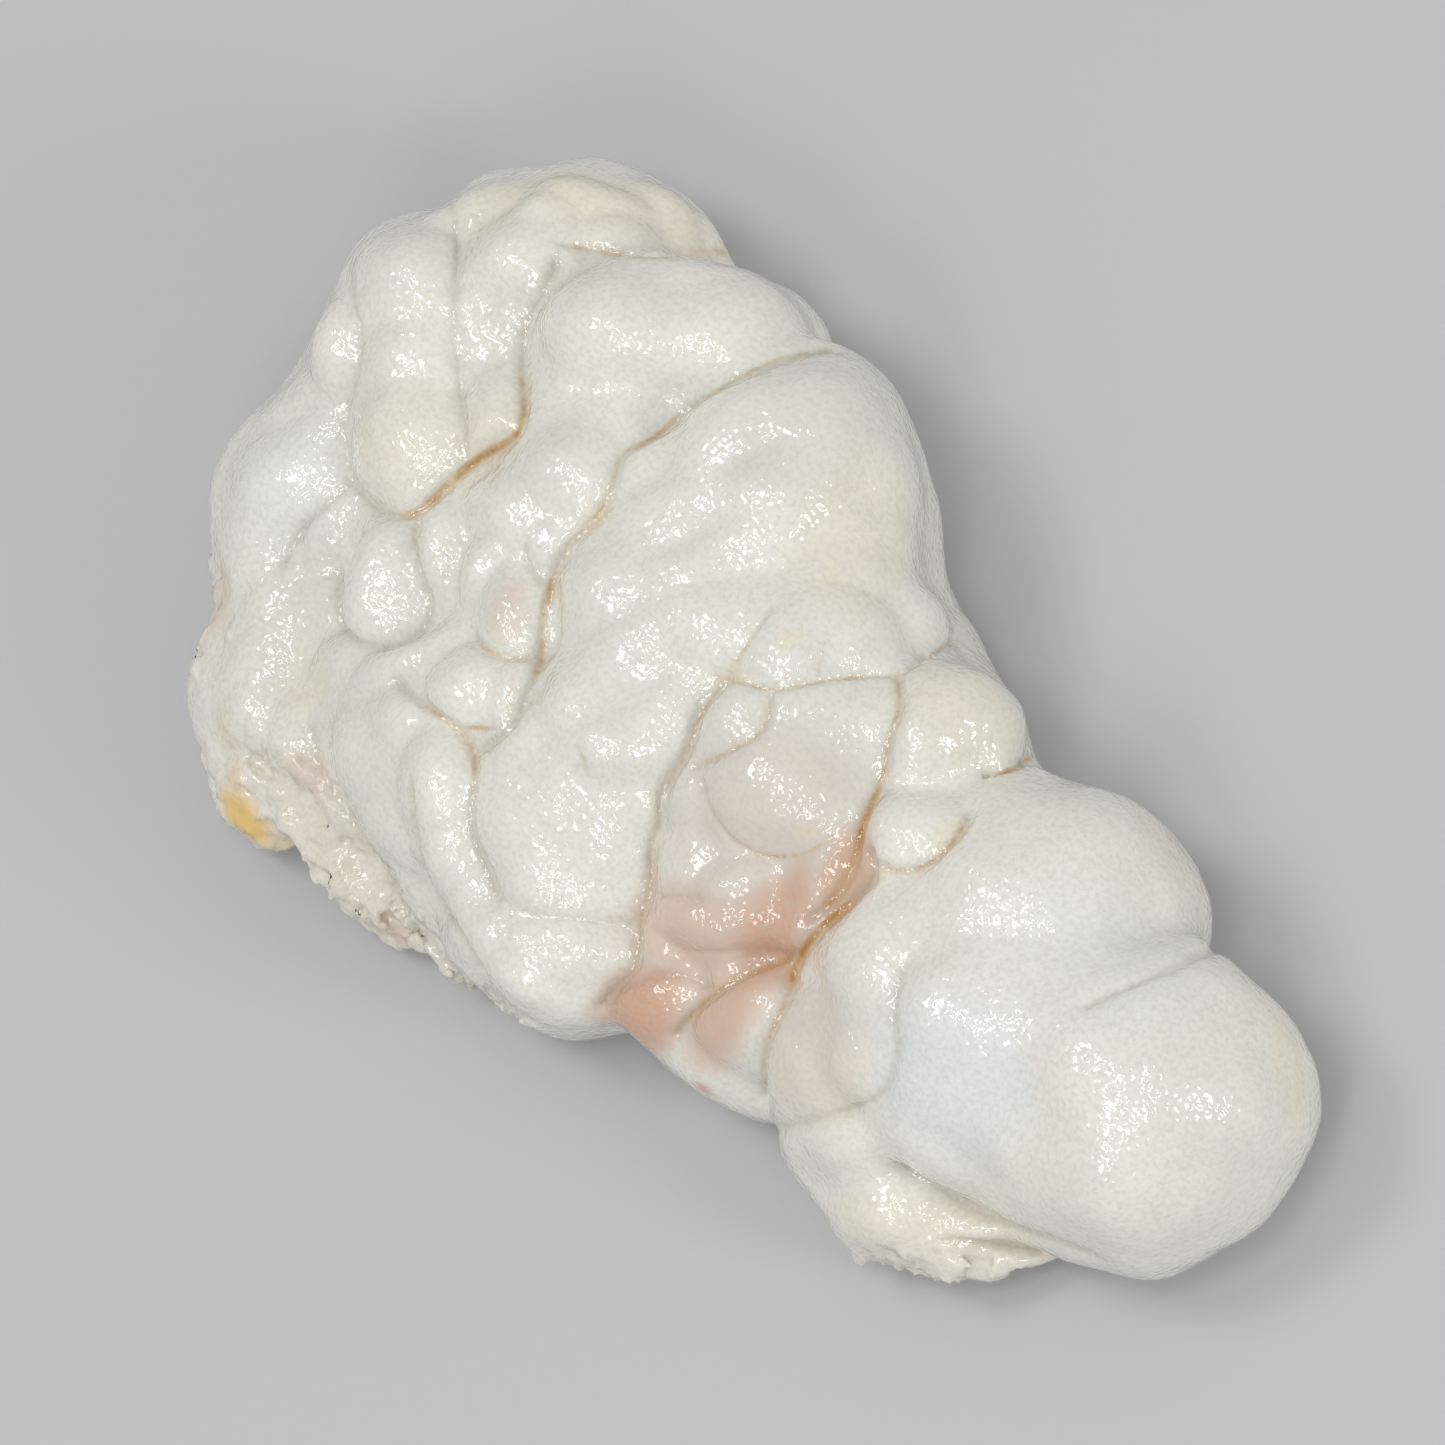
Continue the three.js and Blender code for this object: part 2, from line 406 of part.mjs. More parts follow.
// The offset of a point from the nearest place on a straight line between two ends.
function fromLine(point, from, to) {
  const run = plus(to, from, -1);
  const share = THREE.MathUtils.clamp(dot(plus(point, from, -1), run) / dot(run, run), 0, 1);
  return plus(plus(point, from, -1), run, -share);
}

function distanceToLine(point, line) {
  return Math.min(...line.slice(1).map((to, n) => Math.hypot(...fromLine(point, line[n], to))));
}

function creaseDepth(point) {
  let deepest = 0;
  for (const { line, crack, lip, middle, reach } of creases) {
    if (Math.hypot(...plus(point, middle, -1)) < reach) {
      const away = distanceToLine(point, line);
      const depth = crack * Math.exp(-away / CRACK_WIDTH) + lip * Math.exp(-away / LIP_WIDTH);
      deepest = Math.max(deepest, depth);
    }
  }
  return deepest;
}

// Seed points scattered through space, one in each cube of a grid, and each one's offset to a point.
function scatter(i, j, k, seed) {
  const value = Math.sin(i * 127.1 + j * 311.7 + k * 74.7 + seed * 19.19) * 43758.5453;
  return value - Math.floor(value);
}

function seedsNear(point, size, seed) {
  const place = point.map((value) => value / size);
  const corner = place.map(Math.floor);
  const found = [];
  for (const a of [-1, 0, 1]) {
    for (const b of [-1, 0, 1]) {
      for (const c of [-1, 0, 1]) {
        const cube = [corner[0] + a, corner[1] + b, corner[2] + c];
        const inCube = [0, 1, 2].map((axis) => scatter(...cube, seed + axis));
        const offset = plus(place, plus(cube, inCube), -1);
        found.push({ cube, offset, squared: dot(offset, offset) });
      }
    }
  }
  return found;
}

// Rounded cells: about 1 on a seed point, falling softly to 0 and less between the seed points.
function cells(point, size, seed) {
  const sharpness = 5;
  const shares = seedsNear(point, size, seed).map(({ squared }) => Math.exp(-sharpness * squared));
  return 1 + Math.log(shares.reduce((sum, value) => sum + value, 0)) / sharpness;
}

// Broken faces: flat pieces, one round each seed point, each tilted its own way.
function brokenFaces(point, size, seed) {
  const found = seedsNear(point, size, seed);
  const nearest = found.reduce((best, next) => (next.squared < best.squared ? next : best));
  const tilt = [3, 4, 5].map((which) => 2 * scatter(...nearest.cube, seed + which) - 1);
  return dot(tilt, nearest.offset);
}

const breaks = BREAKS.map(([right, up, long, short, turned]) =>
  oval([right, up, depthAtHeight(right, up, BREAK_HEIGHT)], SIGHT, long, short, BREAK_HALF_DEPTH, turned));

function breakDepth(point) {
  const share = Math.max(0, ...breaks.map((part) => Math.min(BREAK_EDGE * shareOf(point, part), 1)));
  if (share === 0) return 0;
  return share * (BREAK_DEPTH + BREAK_TILT * brokenFaces(point, BREAK_SIZE, BREAK_SEED));
}

// The sides that face away from the eye carry plain lumps. A point counts as hidden by the way it
// lies from the stone's long middle line.
const SPINE = SPINE_ENDS.map(([right, up, height]) => [right, up, depthAtHeight(right, up, height)]);

function hiddenShare(point) {
  const outward = unit(fromLine(point, SPINE[0], SPINE[1]));
  return 1 - THREE.MathUtils.smoothstep(outward[2], HIDDEN_FROM, SEEN_FROM);
}

// The underside is the break from the rock: flat where the stone rests and uneven around that foot.
function undersideHeight(length, side) {
  const outside = Math.hypot(
    (length - FOOT_MIDDLE[0]) / FOOT_HALF[0],
    (side - FOOT_MIDDLE[1]) / FOOT_HALF[1],
  );
  const uneven = 1 - UNDERSIDE_UNEVEN * cells([length, side, 0], UNDERSIDE_LUMP_SIZE, UNDERSIDE_SEED);
  return UNDERSIDE_LIFT * uneven * THREE.MathUtils.smoothstep(outside, 1, 1 + FOOT_FADE);
}

// Far from the skin only the broad body matters.
function skinDistance(point) {
  const broad = bodyDistance(point);
  if (Math.abs(broad) > SKIN_REACH) return broad;
  return knobbedDistance(point) + creaseDepth(point) + breakDepth(point)
    - PEBBLE_RISE * cells(point, PEBBLE_SIZE, PEBBLE_SEED)
    - HIDDEN_LUMP_RISE * hiddenShare(point) * cells(point, HIDDEN_LUMP_SIZE, HIDDEN_SEED);
}

// The distance of a place given in the frame that the stone stands in. The ground cuts the body off.
function stoneDistance([length, side, height]) {
  const point = plus(plus(LENGTHWAYS.map((v) => v * length), SIDEWAYS, side), UPWARDS, height);
  return softGreater(skinDistance(point), undersideHeight(length, side) - height, FOOT_BLEND);
}

// The surface is drawn as a net over a grid: one point for each grid cell that the surface crosses,
// and one four-sided face for each grid edge that it crosses. A cell that the surface would cross
// twice is filled first, so that the net is one closed skin.
const CORNERS = [0, 1, 2, 3, 4, 5, 6, 7].map((n) => [n & 1, (n >> 1) & 1, (n >> 2) & 1]);
const EDGES = [];
CORNERS.forEach((corner, n) => {
  for (const axis of [0, 1, 2]) {
    if (corner[axis] === 0) EDGES.push([n, n + (1 << axis)]);
  }
});

function isWhole(corners) {
  if (corners.length === 0) return true;
  const reached = new Set([corners[0]]);
  let grew = true;
  while (grew) {
    grew = false;
    for (const [a, b] of EDGES) {
      if (corners.includes(a) && corners.includes(b) && reached.has(a) !== reached.has(b)) {
        reached.add(a).add(b);
        grew = true;
      }
    }
  }
  return reached.size === corners.length;
}

const CROSSED_TWICE = Array.from({ length: 256 }, (_, pattern) => {
  const inside = CORNERS.map((_corner, n) => n).filter((n) => pattern & (1 << n));
  const outside = CORNERS.map((_corner, n) => n).filter((n) => !(pattern & (1 << n)));
  return !isWhole(inside) || !isWhole(outside);
});

function netOver(distanceTo, low, high, step) {
  const filledValue = -0.05 * step;
  const counts = low.map((value, axis) => Math.ceil((high[axis] - value) / step) + 1);
  const indexOf = (i, j, k) => i + counts[0] * (j + counts[1] * k);
  const placeOf = (i, j, k) => [low[0] + i * step, low[1] + j * step, low[2] + k * step];
  const values = new Float64Array(counts[0] * counts[1] * counts[2]);
  for (let k = 0; k < counts[2]; k += 1) {
    for (let j = 0; j < counts[1]; j += 1) {
      for (let i = 0; i < counts[0]; i += 1) values[indexOf(i, j, k)] = distanceTo(placeOf(i, j, k));
    }
  }

  const cornersOf = (i, j, k) => CORNERS.map(([a, b, c]) => indexOf(i + a, j + b, k + c));
  const eachCell = (visit) => {
    for (let k = 0; k < counts[2] - 1; k += 1) {
      for (let j = 0; j < counts[1] - 1; j += 1) {
        for (let i = 0; i < counts[0] - 1; i += 1) visit(i, j, k);
      }
    }
  };

  let filled = true;
  while (filled) {
    filled = false;
    eachCell((i, j, k) => {
      const corners = cornersOf(i, j, k);
      const pattern = corners.reduce((bits, index, n) => bits | (values[index] < 0 ? 1 << n : 0), 0);
      if (!CROSSED_TWICE[pattern]) return;
      const outside = corners.filter((index) => values[index] >= 0);
      const nearest = outside.reduce((best, index) => (values[index] < values[best] ? index : best));
      values[nearest] = filledValue;
      filled = true;
    });
  }

  const points = [];
  const cellsOfPoints = [];
  const pointOfCell = new Map();
  eachCell((i, j, k) => {
    const corners = cornersOf(i, j, k);
    const crossings = EDGES.filter(([a, b]) => (values[corners[a]] < 0) !== (values[corners[b]] < 0));
    if (crossings.length === 0) return;
    const sum = [0, 0, 0];
    for (const [a, b] of crossings) {
      const share = values[corners[a]] / (values[corners[a]] - values[corners[b]]);
      for (const axis of [0, 1, 2]) {
        sum[axis] += CORNERS[a][axis] + share * (CORNERS[b][axis] - CORNERS[a][axis]);
      }
    }
    pointOfCell.set(indexOf(i, j, k), points.length);
    points.push(plus(placeOf(i, j, k), sum, step / crossings.length));
    cellsOfPoints.push(placeOf(i, j, k));
  });

  const triangles = [];
  const far = (a, b) => Math.hypot(...plus(points[a], points[b], -1));
  const addFace = (a, b, c, d) => {
    if (far(a, c) < far(b, d)) triangles.push(a, b, c, a, c, d);
    else triangles.push(b, c, d, b, d, a);
  };
  for (const axis of [0, 1, 2]) {
    const [next, last] = [(axis + 1) % 3, (axis + 2) % 3];
    const back = (place, steps) => {
      const moved = [...place];
      for (const which of steps) moved[which] -= 1;
      return pointOfCell.get(indexOf(...moved));
    };
    eachCell((...place) => {
      if (place[next] === 0 || place[last] === 0) return;
      const ahead = [...place];
      ahead[axis] += 1;
      const here = values[indexOf(...place)] < 0;
      if (here === values[indexOf(...ahead)] < 0) return;
      const ring = [back(place, [next, last]), back(place, [last]), back(place, []), back(place, [next])];
      if (here) addFace(...ring);
      else addFace(...ring.reverse());
    });
  }
  return { points, cellsOfPoints, triangles };
}

// Points of the net are drawn onto the surface, each inside its own cell. The flat foot stays flat.
function drawnOnto({ points, cellsOfPoints }, distanceTo, step) {
  const footTolerance = 1e-6;
  const margin = GRID_MARGIN * step;
  const mostMove = MOST_MOVE * step;
  const roundCount = 3;
  return points.map((start, n) => {
    if (Math.abs(start[2]) < footTolerance) return start;
    const cellLow = cellsOfPoints[n].map((value) => value + margin);
    const cellHigh = cellsOfPoints[n].map((value) => value + step - margin);
    let point = start;
    for (let i = 0; i < roundCount; i += 1) {
      const slope = slopeAt(point, distanceTo);
      const wanted = distanceTo(point) / (dot(slope, slope) + 1e-9);
      const moved = plus(point, slope, -THREE.MathUtils.clamp(wanted, -mostMove, mostMove));
      point = moved.map((value, axis) => THREE.MathUtils.clamp(value, cellLow[axis], cellHigh[axis]));
    }
    return [point[0], point[1], Math.max(point[2], 0)];
  });
}

// The stone's box is centred on the origin, and its foot is at zero height.
function stoneGeometry() {
  const net = netOver(stoneDistance, GRID_LOW, GRID_HIGH, GRID_STEP);
  const points = drawnOnto(net, stoneDistance, GRID_STEP);
  const geometry = new THREE.BufferGeometry();
  geometry.setAttribute('position', new THREE.Float32BufferAttribute(points.flat(), 3));
  geometry.setIndex(net.triangles);
  geometry.computeBoundingBox();
  const middle = geometry.boundingBox.getCenter(new THREE.Vector3());
  geometry.translate(-middle.x, -middle.y, -geometry.boundingBox.min.z);
  geometry.computeVertexNormals();
  return geometry;
}

const milkyOpal = new THREE.MeshStandardMaterial({ color: '#dedcd6', roughness: 0.3, metalness: 0 });

const opal = new THREE.Mesh(stoneGeometry(), milkyOpal);
opal.name = 'opal';

const specimen = new THREE.Group();
specimen.add(opal);

export default specimen;
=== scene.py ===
# %% [markdown]
# # A botryoidal opal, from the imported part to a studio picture
# Botryoidal means "like a bunch of grapes". The stone in the photograph is a loose piece of common
# opal: milky white, wet-looking, made of broad lobes with small knobs on them, and broken along its
# left and lower edge. This notebook builds its visible skin at a finer grain than the CAD solid, gives
# it an opal material, and lights it on a pale floor.

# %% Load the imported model
import math

import bpy
import numpy as np
from mathutils import Matrix, Vector


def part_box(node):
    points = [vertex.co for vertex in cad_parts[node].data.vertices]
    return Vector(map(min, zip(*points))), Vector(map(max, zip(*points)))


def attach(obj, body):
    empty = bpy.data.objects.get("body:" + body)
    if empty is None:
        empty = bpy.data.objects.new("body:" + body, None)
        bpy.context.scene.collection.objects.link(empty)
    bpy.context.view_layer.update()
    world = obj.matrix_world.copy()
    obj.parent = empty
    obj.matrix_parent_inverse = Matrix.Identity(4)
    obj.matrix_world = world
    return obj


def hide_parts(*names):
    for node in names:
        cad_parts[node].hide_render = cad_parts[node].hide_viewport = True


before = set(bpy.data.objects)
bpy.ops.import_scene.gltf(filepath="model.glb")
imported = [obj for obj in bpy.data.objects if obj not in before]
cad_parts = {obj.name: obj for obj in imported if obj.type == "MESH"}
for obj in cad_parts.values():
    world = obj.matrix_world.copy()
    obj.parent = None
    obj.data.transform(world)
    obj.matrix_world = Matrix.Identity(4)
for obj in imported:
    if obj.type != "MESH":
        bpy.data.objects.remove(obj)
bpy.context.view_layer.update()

# %% [markdown]
# ## The view plane
# A photograph gives places as right and up. So the stone's shapes are written down on the view plane:
# a flat sheet on the stone's face, square to the line of sight, in millimetres from the middle of the
# picture. The third number is depth towards the eye. Three unit vectors say how the stone's own frame
# (length, side, height) lies in that view, and they also place the camera later on.

# %% Axes of the view plane
SIGHT_FROM_VERTICAL = 30
LENGTH_TURN = -46.4

lean, turn = math.radians(SIGHT_FROM_VERTICAL), math.radians(LENGTH_TURN)
SIGHT = np.array([0.0, 0.0, 1.0])
LENGTHWAYS = np.array([math.cos(turn) * math.cos(lean), math.sin(turn) * math.cos(lean), math.sin(lean)])
UPWARDS = np.array([-math.cos(turn) * math.sin(lean), -math.sin(turn) * math.sin(lean), math.cos(lean)])
SIDEWAYS = np.cross(UPWARDS, LENGTHWAYS)
STONE_AXES = np.array([LENGTHWAYS, SIDEWAYS, UPWARDS])


def place_at(right, up, height):
    """The place on the view plane that is this high above the ground."""
    return right, up, (height - UPWARDS[0] * right - UPWARDS[1] * up) / UPWARDS[2]


print("the line of sight in the stone's frame:", (STONE_AXES @ SIGHT).round(3))

# %% [markdown]
# ## The shapes that make the stone
# Opal like this grew outwards from many points at once. Each growth is a lobe, small ones on it are
# knobs, and a crease runs where two of them met. An artist could sculpt them with brushes, or scatter
# metaballs and remesh them. Here each form is a row in a table instead, so it can be found, measured
# and moved, and the CAD solid is made from the same rows.

# %% Broad masses and lobes, in millimetres
# Right, up, half length along the stone, half width across it, half height, height of the middle.
MASSES = [
    (-6.4, 8, 13.6, 10.8, 7.8, 3.2),
    (1.6, 2.2, 13.6, 7.1, 9.2, 4.6),
    (11.8, -11.5, 12.8, 7, 7.2, 5),
    (-8.4, -2.3, 8.4, 6.4, 6.8, 4.2),
    (-2.4, -3.2, 6.8, 6.3, 7.4, 4.4),
]

# Right, up, long half width, short half width, turn of the long one, half depth, height of the middle.
LOBES = [
    (-11.8, 14.4, 5.8, 4.1, 84, 5, 7.2),  # upper left block
    (-14.9, 7.7, 6.7, 5.1, 70, 4.6, 3.8),  # left flank
    (-5.5, 18.1, 5.5, 4, -8, 5.4, 6.4),  # far top
    (-2.1, 15.1, 6.1, 3.9, -4, 6, 7.6),  # upper dome
    (-6, 9.8, 3.4, 2.2, 50, 4.6, 8.6),  # tail of the upper dome
    (2.6, 8.1, 6.9, 5.9, 80, 6.2, 7.4),  # right shield
    (4, 3.2, 4.5, 4.1, 0, 6.5, 6.8),  # foot of the shield
    (-15.3, 1.6, 6, 5.4, 75, 4, 2.8),  # left rim
    (-11.9, -4.1, 7.3, 4.5, -38, 3.8, 2.6),  # lower left rim
    (-17.8, -2.9, 2.9, 2.5, -20, 2.6, 2.2),  # corner of the rim
    (-8.8, -3.3, 6, 5.2, -55, 6.4, 6),  # lower dome
    (-6.1, -8.2, 5.4, 4.3, -22, 5.6, 4.8),  # lip of the lower dome
    (2.4, -2.2, 6, 4.8, 66, 6.6, 6.8),  # middle lobe
    (0.8, -7, 4.8, 3.8, 30, 6.4, 5),  # foot of the middle lobe
    (8.4, -0.8, 3.9, 3.2, 20, 5.8, 6.6),  # small right lobe
    (13, -7.6, 6.3, 5.3, -20, 5.6, 6.4),  # upper finger
    (10.3, -12.8, 5.8, 5.6, 0, 6.4, 6),  # middle of the finger
    (17, -15.2, 6.7, 6.4, 65, 6.2, 5.8),  # end of the finger
    (4.4, -12.8, 3.8, 3.4, 0, 4.8, 4.8),  # dull lobe
    (5.6, -16.2, 4.9, 3.2, -45, 4.4, 3.6),  # root of the skirt
    (9.9, -19.5, 5.5, 3.3, -8, 3.2, 2.3),  # skirt
    (0.2, -11.6, 4.9, 3.1, -38, 4.6, 3.9),  # pink recess
    (-4.2, -1.2, 4.2, 3.4, 65, 6, 8),  # bridge to the lower dome
]
print(len(MASSES), "masses and", len(LOBES), "lobes")

# %% Knobs
# Right, up, long half width, short half width, turn of the long one, rise.
KNOBS = [
    # upper left block
    (-12.9, 18, 2.3, 2.1, 60, 1.2), (-12.6, 14.6, 2.2, 1.8, 10, 0.45), (-12.6, 11.2, 2.8, 2.6, 60, 1.6),
    (-9.3, 12.8, 2.5, 1.5, 80, 0.5), (-9.1, 15.6, 1.8, 1.6, 80, 0.8), (-10.2, 16.6, 1.1, 0.9, 0, 0.6),
    (-8.4, 18.4, 2.4, 2, 10, 0.9), (-9.8, 20.5, 1.7, 0.9, 10, 0.5), (-12.4, 20.2, 1.7, 0.8, 10, 0.4),
    (-10.7, 13.9, 0.9, 0.7, 0, 0.4), (-14.3, 16.2, 0.9, 0.7, 60, 0.35),
    # left flank
    (-15.5, 15, 1.7, 1.4, 80, 0.8), (-15.7, 16.8, 1.9, 1.2, 70, 0.7), (-16.6, 12.6, 1.7, 1.3, 50, 0.5),
    (-17.4, 10.1, 2.8, 2, 45, 0.9), (-18.4, 3, 1.7, 0.9, 40, 0.45), (-16.4, 0.4, 1.6, 0.8, -20, 0.4),
    (-18.9, 0.6, 1.4, 0.9, 60, 0.45), (-18.7, 7.4, 1.8, 1.2, 60, 0.4), (-15.9, 7.6, 1.9, 0.8, 65, 0.6),
    (-17.8, 5.2, 1.8, 1.2, 70, 0.4), (-16.2, 4.6, 1.6, 1.2, 0, 0.35),
    # far top
    (-5.2, 21, 2.4, 0.9, -5, 0.5), (-2.2, 20.4, 1.5, 0.9, -50, 0.45), (-7.4, 20.5, 1.2, 0.8, 30, 0.4),
    (-0.8, 19.4, 1, 0.7, -70, 0.35), (-4.2, 19.5, 1.1, 0.8, 40, 0.3),
    # upper dome and its tail
    (-4.5, 15.6, 3.2, 2.9, 0, 1), (0.4, 15.6, 2.9, 2.5, -10, 0.7), (2.2, 16, 1.8, 1.4, -50, 0.35),
    (-1.8, 18, 2.4, 1.2, 0, 0.3), (-4, 12.7, 2.2, 1.4, 20, 0.4), (-6.2, 10.3, 2.2, 1.9, 60, 0.8),
    (-6.7, 13, 1.6, 1.4, 60, 0.3),
    # plateau
    (-8.6, 8.4, 2.2, 1.3, -20, 0.8), (-7.4, 7.3, 1.2, 0.9, 0, 0.5), (-11.3, 7, 1.8, 1.1, 90, 0.9),
    (-9.5, 6.2, 1.3, 1, 80, 0.7), (-8.5, 4.4, 2, 1.5, 90, 1), (-13.6, 5.6, 2.8, 1.8, 85, 1.4),
    (-13.4, 8, 1.2, 0.9, 0, 0.4), (-10.3, 1.5, 1.8, 1.6, 0, 0.8), (-8.5, 1.4, 1.2, 0.8, 75, 0.4),
    (-12.6, 2.6, 2, 0.9, 10, 0.4), (-15.6, 2.2, 2, 1.1, 10, 0.4),
    # lower left ridge
    (-14.4, -1.6, 2.4, 1.9, -40, 0.9), (-13.4, 0.2, 1.8, 1.2, 0, 0.5), (-13.6, -3.9, 1.9, 1.4, -60, 0.7),
    (-12.7, -6.2, 2, 0.9, -70, 0.6), (-11.4, -8.8, 2.2, 0.8, -55, 0.5), (-11.6, -2.6, 2.4, 1.4, -85, 0.9),
    (-10.9, -5.6, 1.8, 1.3, -60, 0.8), (-10.2, -7.8, 1.2, 0.9, -50, 0.5),
    # lower dome
    (-7.4, -3.6, 2.9, 2.6, 80, 0.8), (-4.8, -4.8, 2.6, 2, 80, 0.6), (-8.4, -1.2, 1.8, 1.2, 30, 0.5),
    (-3.2, -3.6, 0.9, 0.8, 0, 0.3), (-7.4, -6.3, 2, 1.4, 0, 0.4), (-4.6, -6.9, 1.6, 1.2, 0, 0.3),
    (-9.5, -8.5, 1.3, 1.1, 0, 0.5), (-8.1, -8.8, 0.9, 0.8, 0, 0.4), (-5.4, -9.3, 2.2, 1.5, -10, 0.6),
    (-7.6, -10.6, 2.4, 0.9, -25, 0.4), (-5.8, -11.2, 1.5, 1.1, 0, 0.4),
    # right shield
    (0.6, 12.2, 3.6, 1.9, 25, 0.6), (-2.2, 8.3, 2.2, 1.6, 30, 0.5), (4.8, 12.2, 3, 2.6, -40, 0.5),
    (1, 7.4, 2.2, 1.2, 20, 0.5), (-1.8, 6, 2.2, 1.1, 10, 0.4), (-4.6, 5.5, 1.8, 1.6, 0, 0.5),
    (6, 6.6, 2.3, 1.6, 10, 0.6), (6.6, 10.2, 1.8, 1.6, 0, 0.4), (-3.8, 2.6, 1.8, 1.6, 60, 0.5),
    (-5.4, 1.2, 1.8, 1.3, 60, 0.4), (2.6, 3.2, 1.8, 1.3, 30, 0.4), (5.4, 3.6, 1.9, 1.4, 0, 0.4),
    (8, 4.2, 1.5, 1.4, 0, 0.4), (-1, 4.4, 2, 1.3, -10, 0.3), (-2.9, 10.4, 1.5, 1.2, 40, 0.4),
    (2, 9.6, 2.6, 1.4, 20, 0.35), (-2.6, 0.2, 1.6, 1.3, 70, 0.4), (-4.6, -1, 1.8, 1.4, 0, 0.5),
    # middle lobe
    (0.4, 0.3, 1.5, 1.2, 40, 0.65), (2.2, -2.4, 3.1, 2.9, 0, 0.6), (3.9, 0.3, 2.3, 1.5, 0, 0.35),
    (-1.3, -3.4, 1.6, 0.9, 65, 0.5), (-1.5, -5.6, 1.4, 1.2, 0, 0.5), (0.7, -6.5, 1.8, 0.9, 5, 0.45),
    (-1.3, -7.9, 1.7, 1, -5, 0.35), (1.4, -8, 2, 1, 25, 0.25), (3.4, -6, 1.6, 1.2, 45, 0.3),
    (-2.6, -9, 1, 0.8, 90, 0.3),
    # pink recess
    (-3.1, -11.4, 1.9, 1.4, 20, 0.5), (0.8, -11.4, 2.3, 1.5, 35, 1), (-0.4, -14.2, 1.5, 0.9, -35, 0.3),
    # small right lobes
    (9, 1.2, 2.4, 2, 0, 0.5), (11, 0, 1.9, 1.7, 0, 0.5), (8, -1, 1.6, 1.4, 0, 0.3),
    (7.7, -4.3, 2.1, 1.8, -10, 1.1),
    # finger
    (10.2, -6.2, 2.6, 2.2, 0, 0.5), (13.4, -5.6, 3.2, 2.6, -30, 0.3), (17.6, -7.8, 2.4, 2.2, 0, 0.5),
    (7, -8.6, 2.2, 1.4, 30, 0.3), (5.6, -9.8, 1.9, 1.5, 45, 0.3), (4.2, -13.4, 2.5, 2.3, 0, 0.6),
    (10.2, -12.2, 3.6, 3.4, 0, 0.5), (10.8, -15.8, 2.8, 2, 0, 0.4), (17.4, -15.4, 5.2, 5.2, 0, 0.5),
    (14, -12.6, 3, 2.6, 0, 0.3), (5.4, -17.2, 1.8, 1.5, -30, 0.6), (6.7, -19.4, 1.7, 1.4, 0, 0.6),
    (9, -17.6, 2.2, 1.1, -30, 0.3), (10.4, -20.2, 2, 0.6, 12, 0.5), (14.2, -18.9, 2.8, 1.5, -15, 0.3),
]
print(len(KNOBS), "knobs")

# %% Hollows and broken places
# Right, up, long half width, short half width, turn of the long one, depth.
HOLLOWS = [
    (-2, -11.6, 3, 2, 35, 0.2),  # pink recess
    (4.4, -7.4, 3.6, 1.5, 48, 0.35),  # valley beside the middle lobe
    (-9.6, 10.6, 2.2, 1.2, 30, 0.4),  # under the upper left block
    (-7.1, 3.6, 2.2, 1, 88, 0.4),  # under the edge of the plateau
    (-12, 3.6, 1.8, 1.2, 30, 0.3),  # beside the egg
    (-10.2, -0.9, 2.6, 1.1, -30, 0.4),  # above the lower dome
    (-17.4, -3.2, 2.4, 1.4, -30, 0.9),  # pit in the broken rim
    (-14.8, -5.6, 2.6, 1.1, -40, 0.7),  # second pit in the rim
    (-12.2, -8.4, 2.2, 0.9, -45, 0.5),  # third pit in the rim
    (11.6, -20.9, 2.6, 0.8, -12, 0.6),  # under the lip of the skirt
]

# Right, up, long half width, short half width, turn of the long one.
BREAKS = [
    (-17.8, -2.8, 4, 3, -30),  # left corner of the rim
    (-14.2, -7, 4.6, 2.2, -42),  # lower left rim
    (-9.6, -11.2, 3.6, 1.2, -28),  # rim under the lower dome
    (-20.8, 4.2, 3.6, 1.6, 90),  # left face of the rim
    (8.8, -21.9, 4.8, 1, -6),  # skirt
]
print(len(HOLLOWS), "hollows and", len(BREAKS), "broken places")

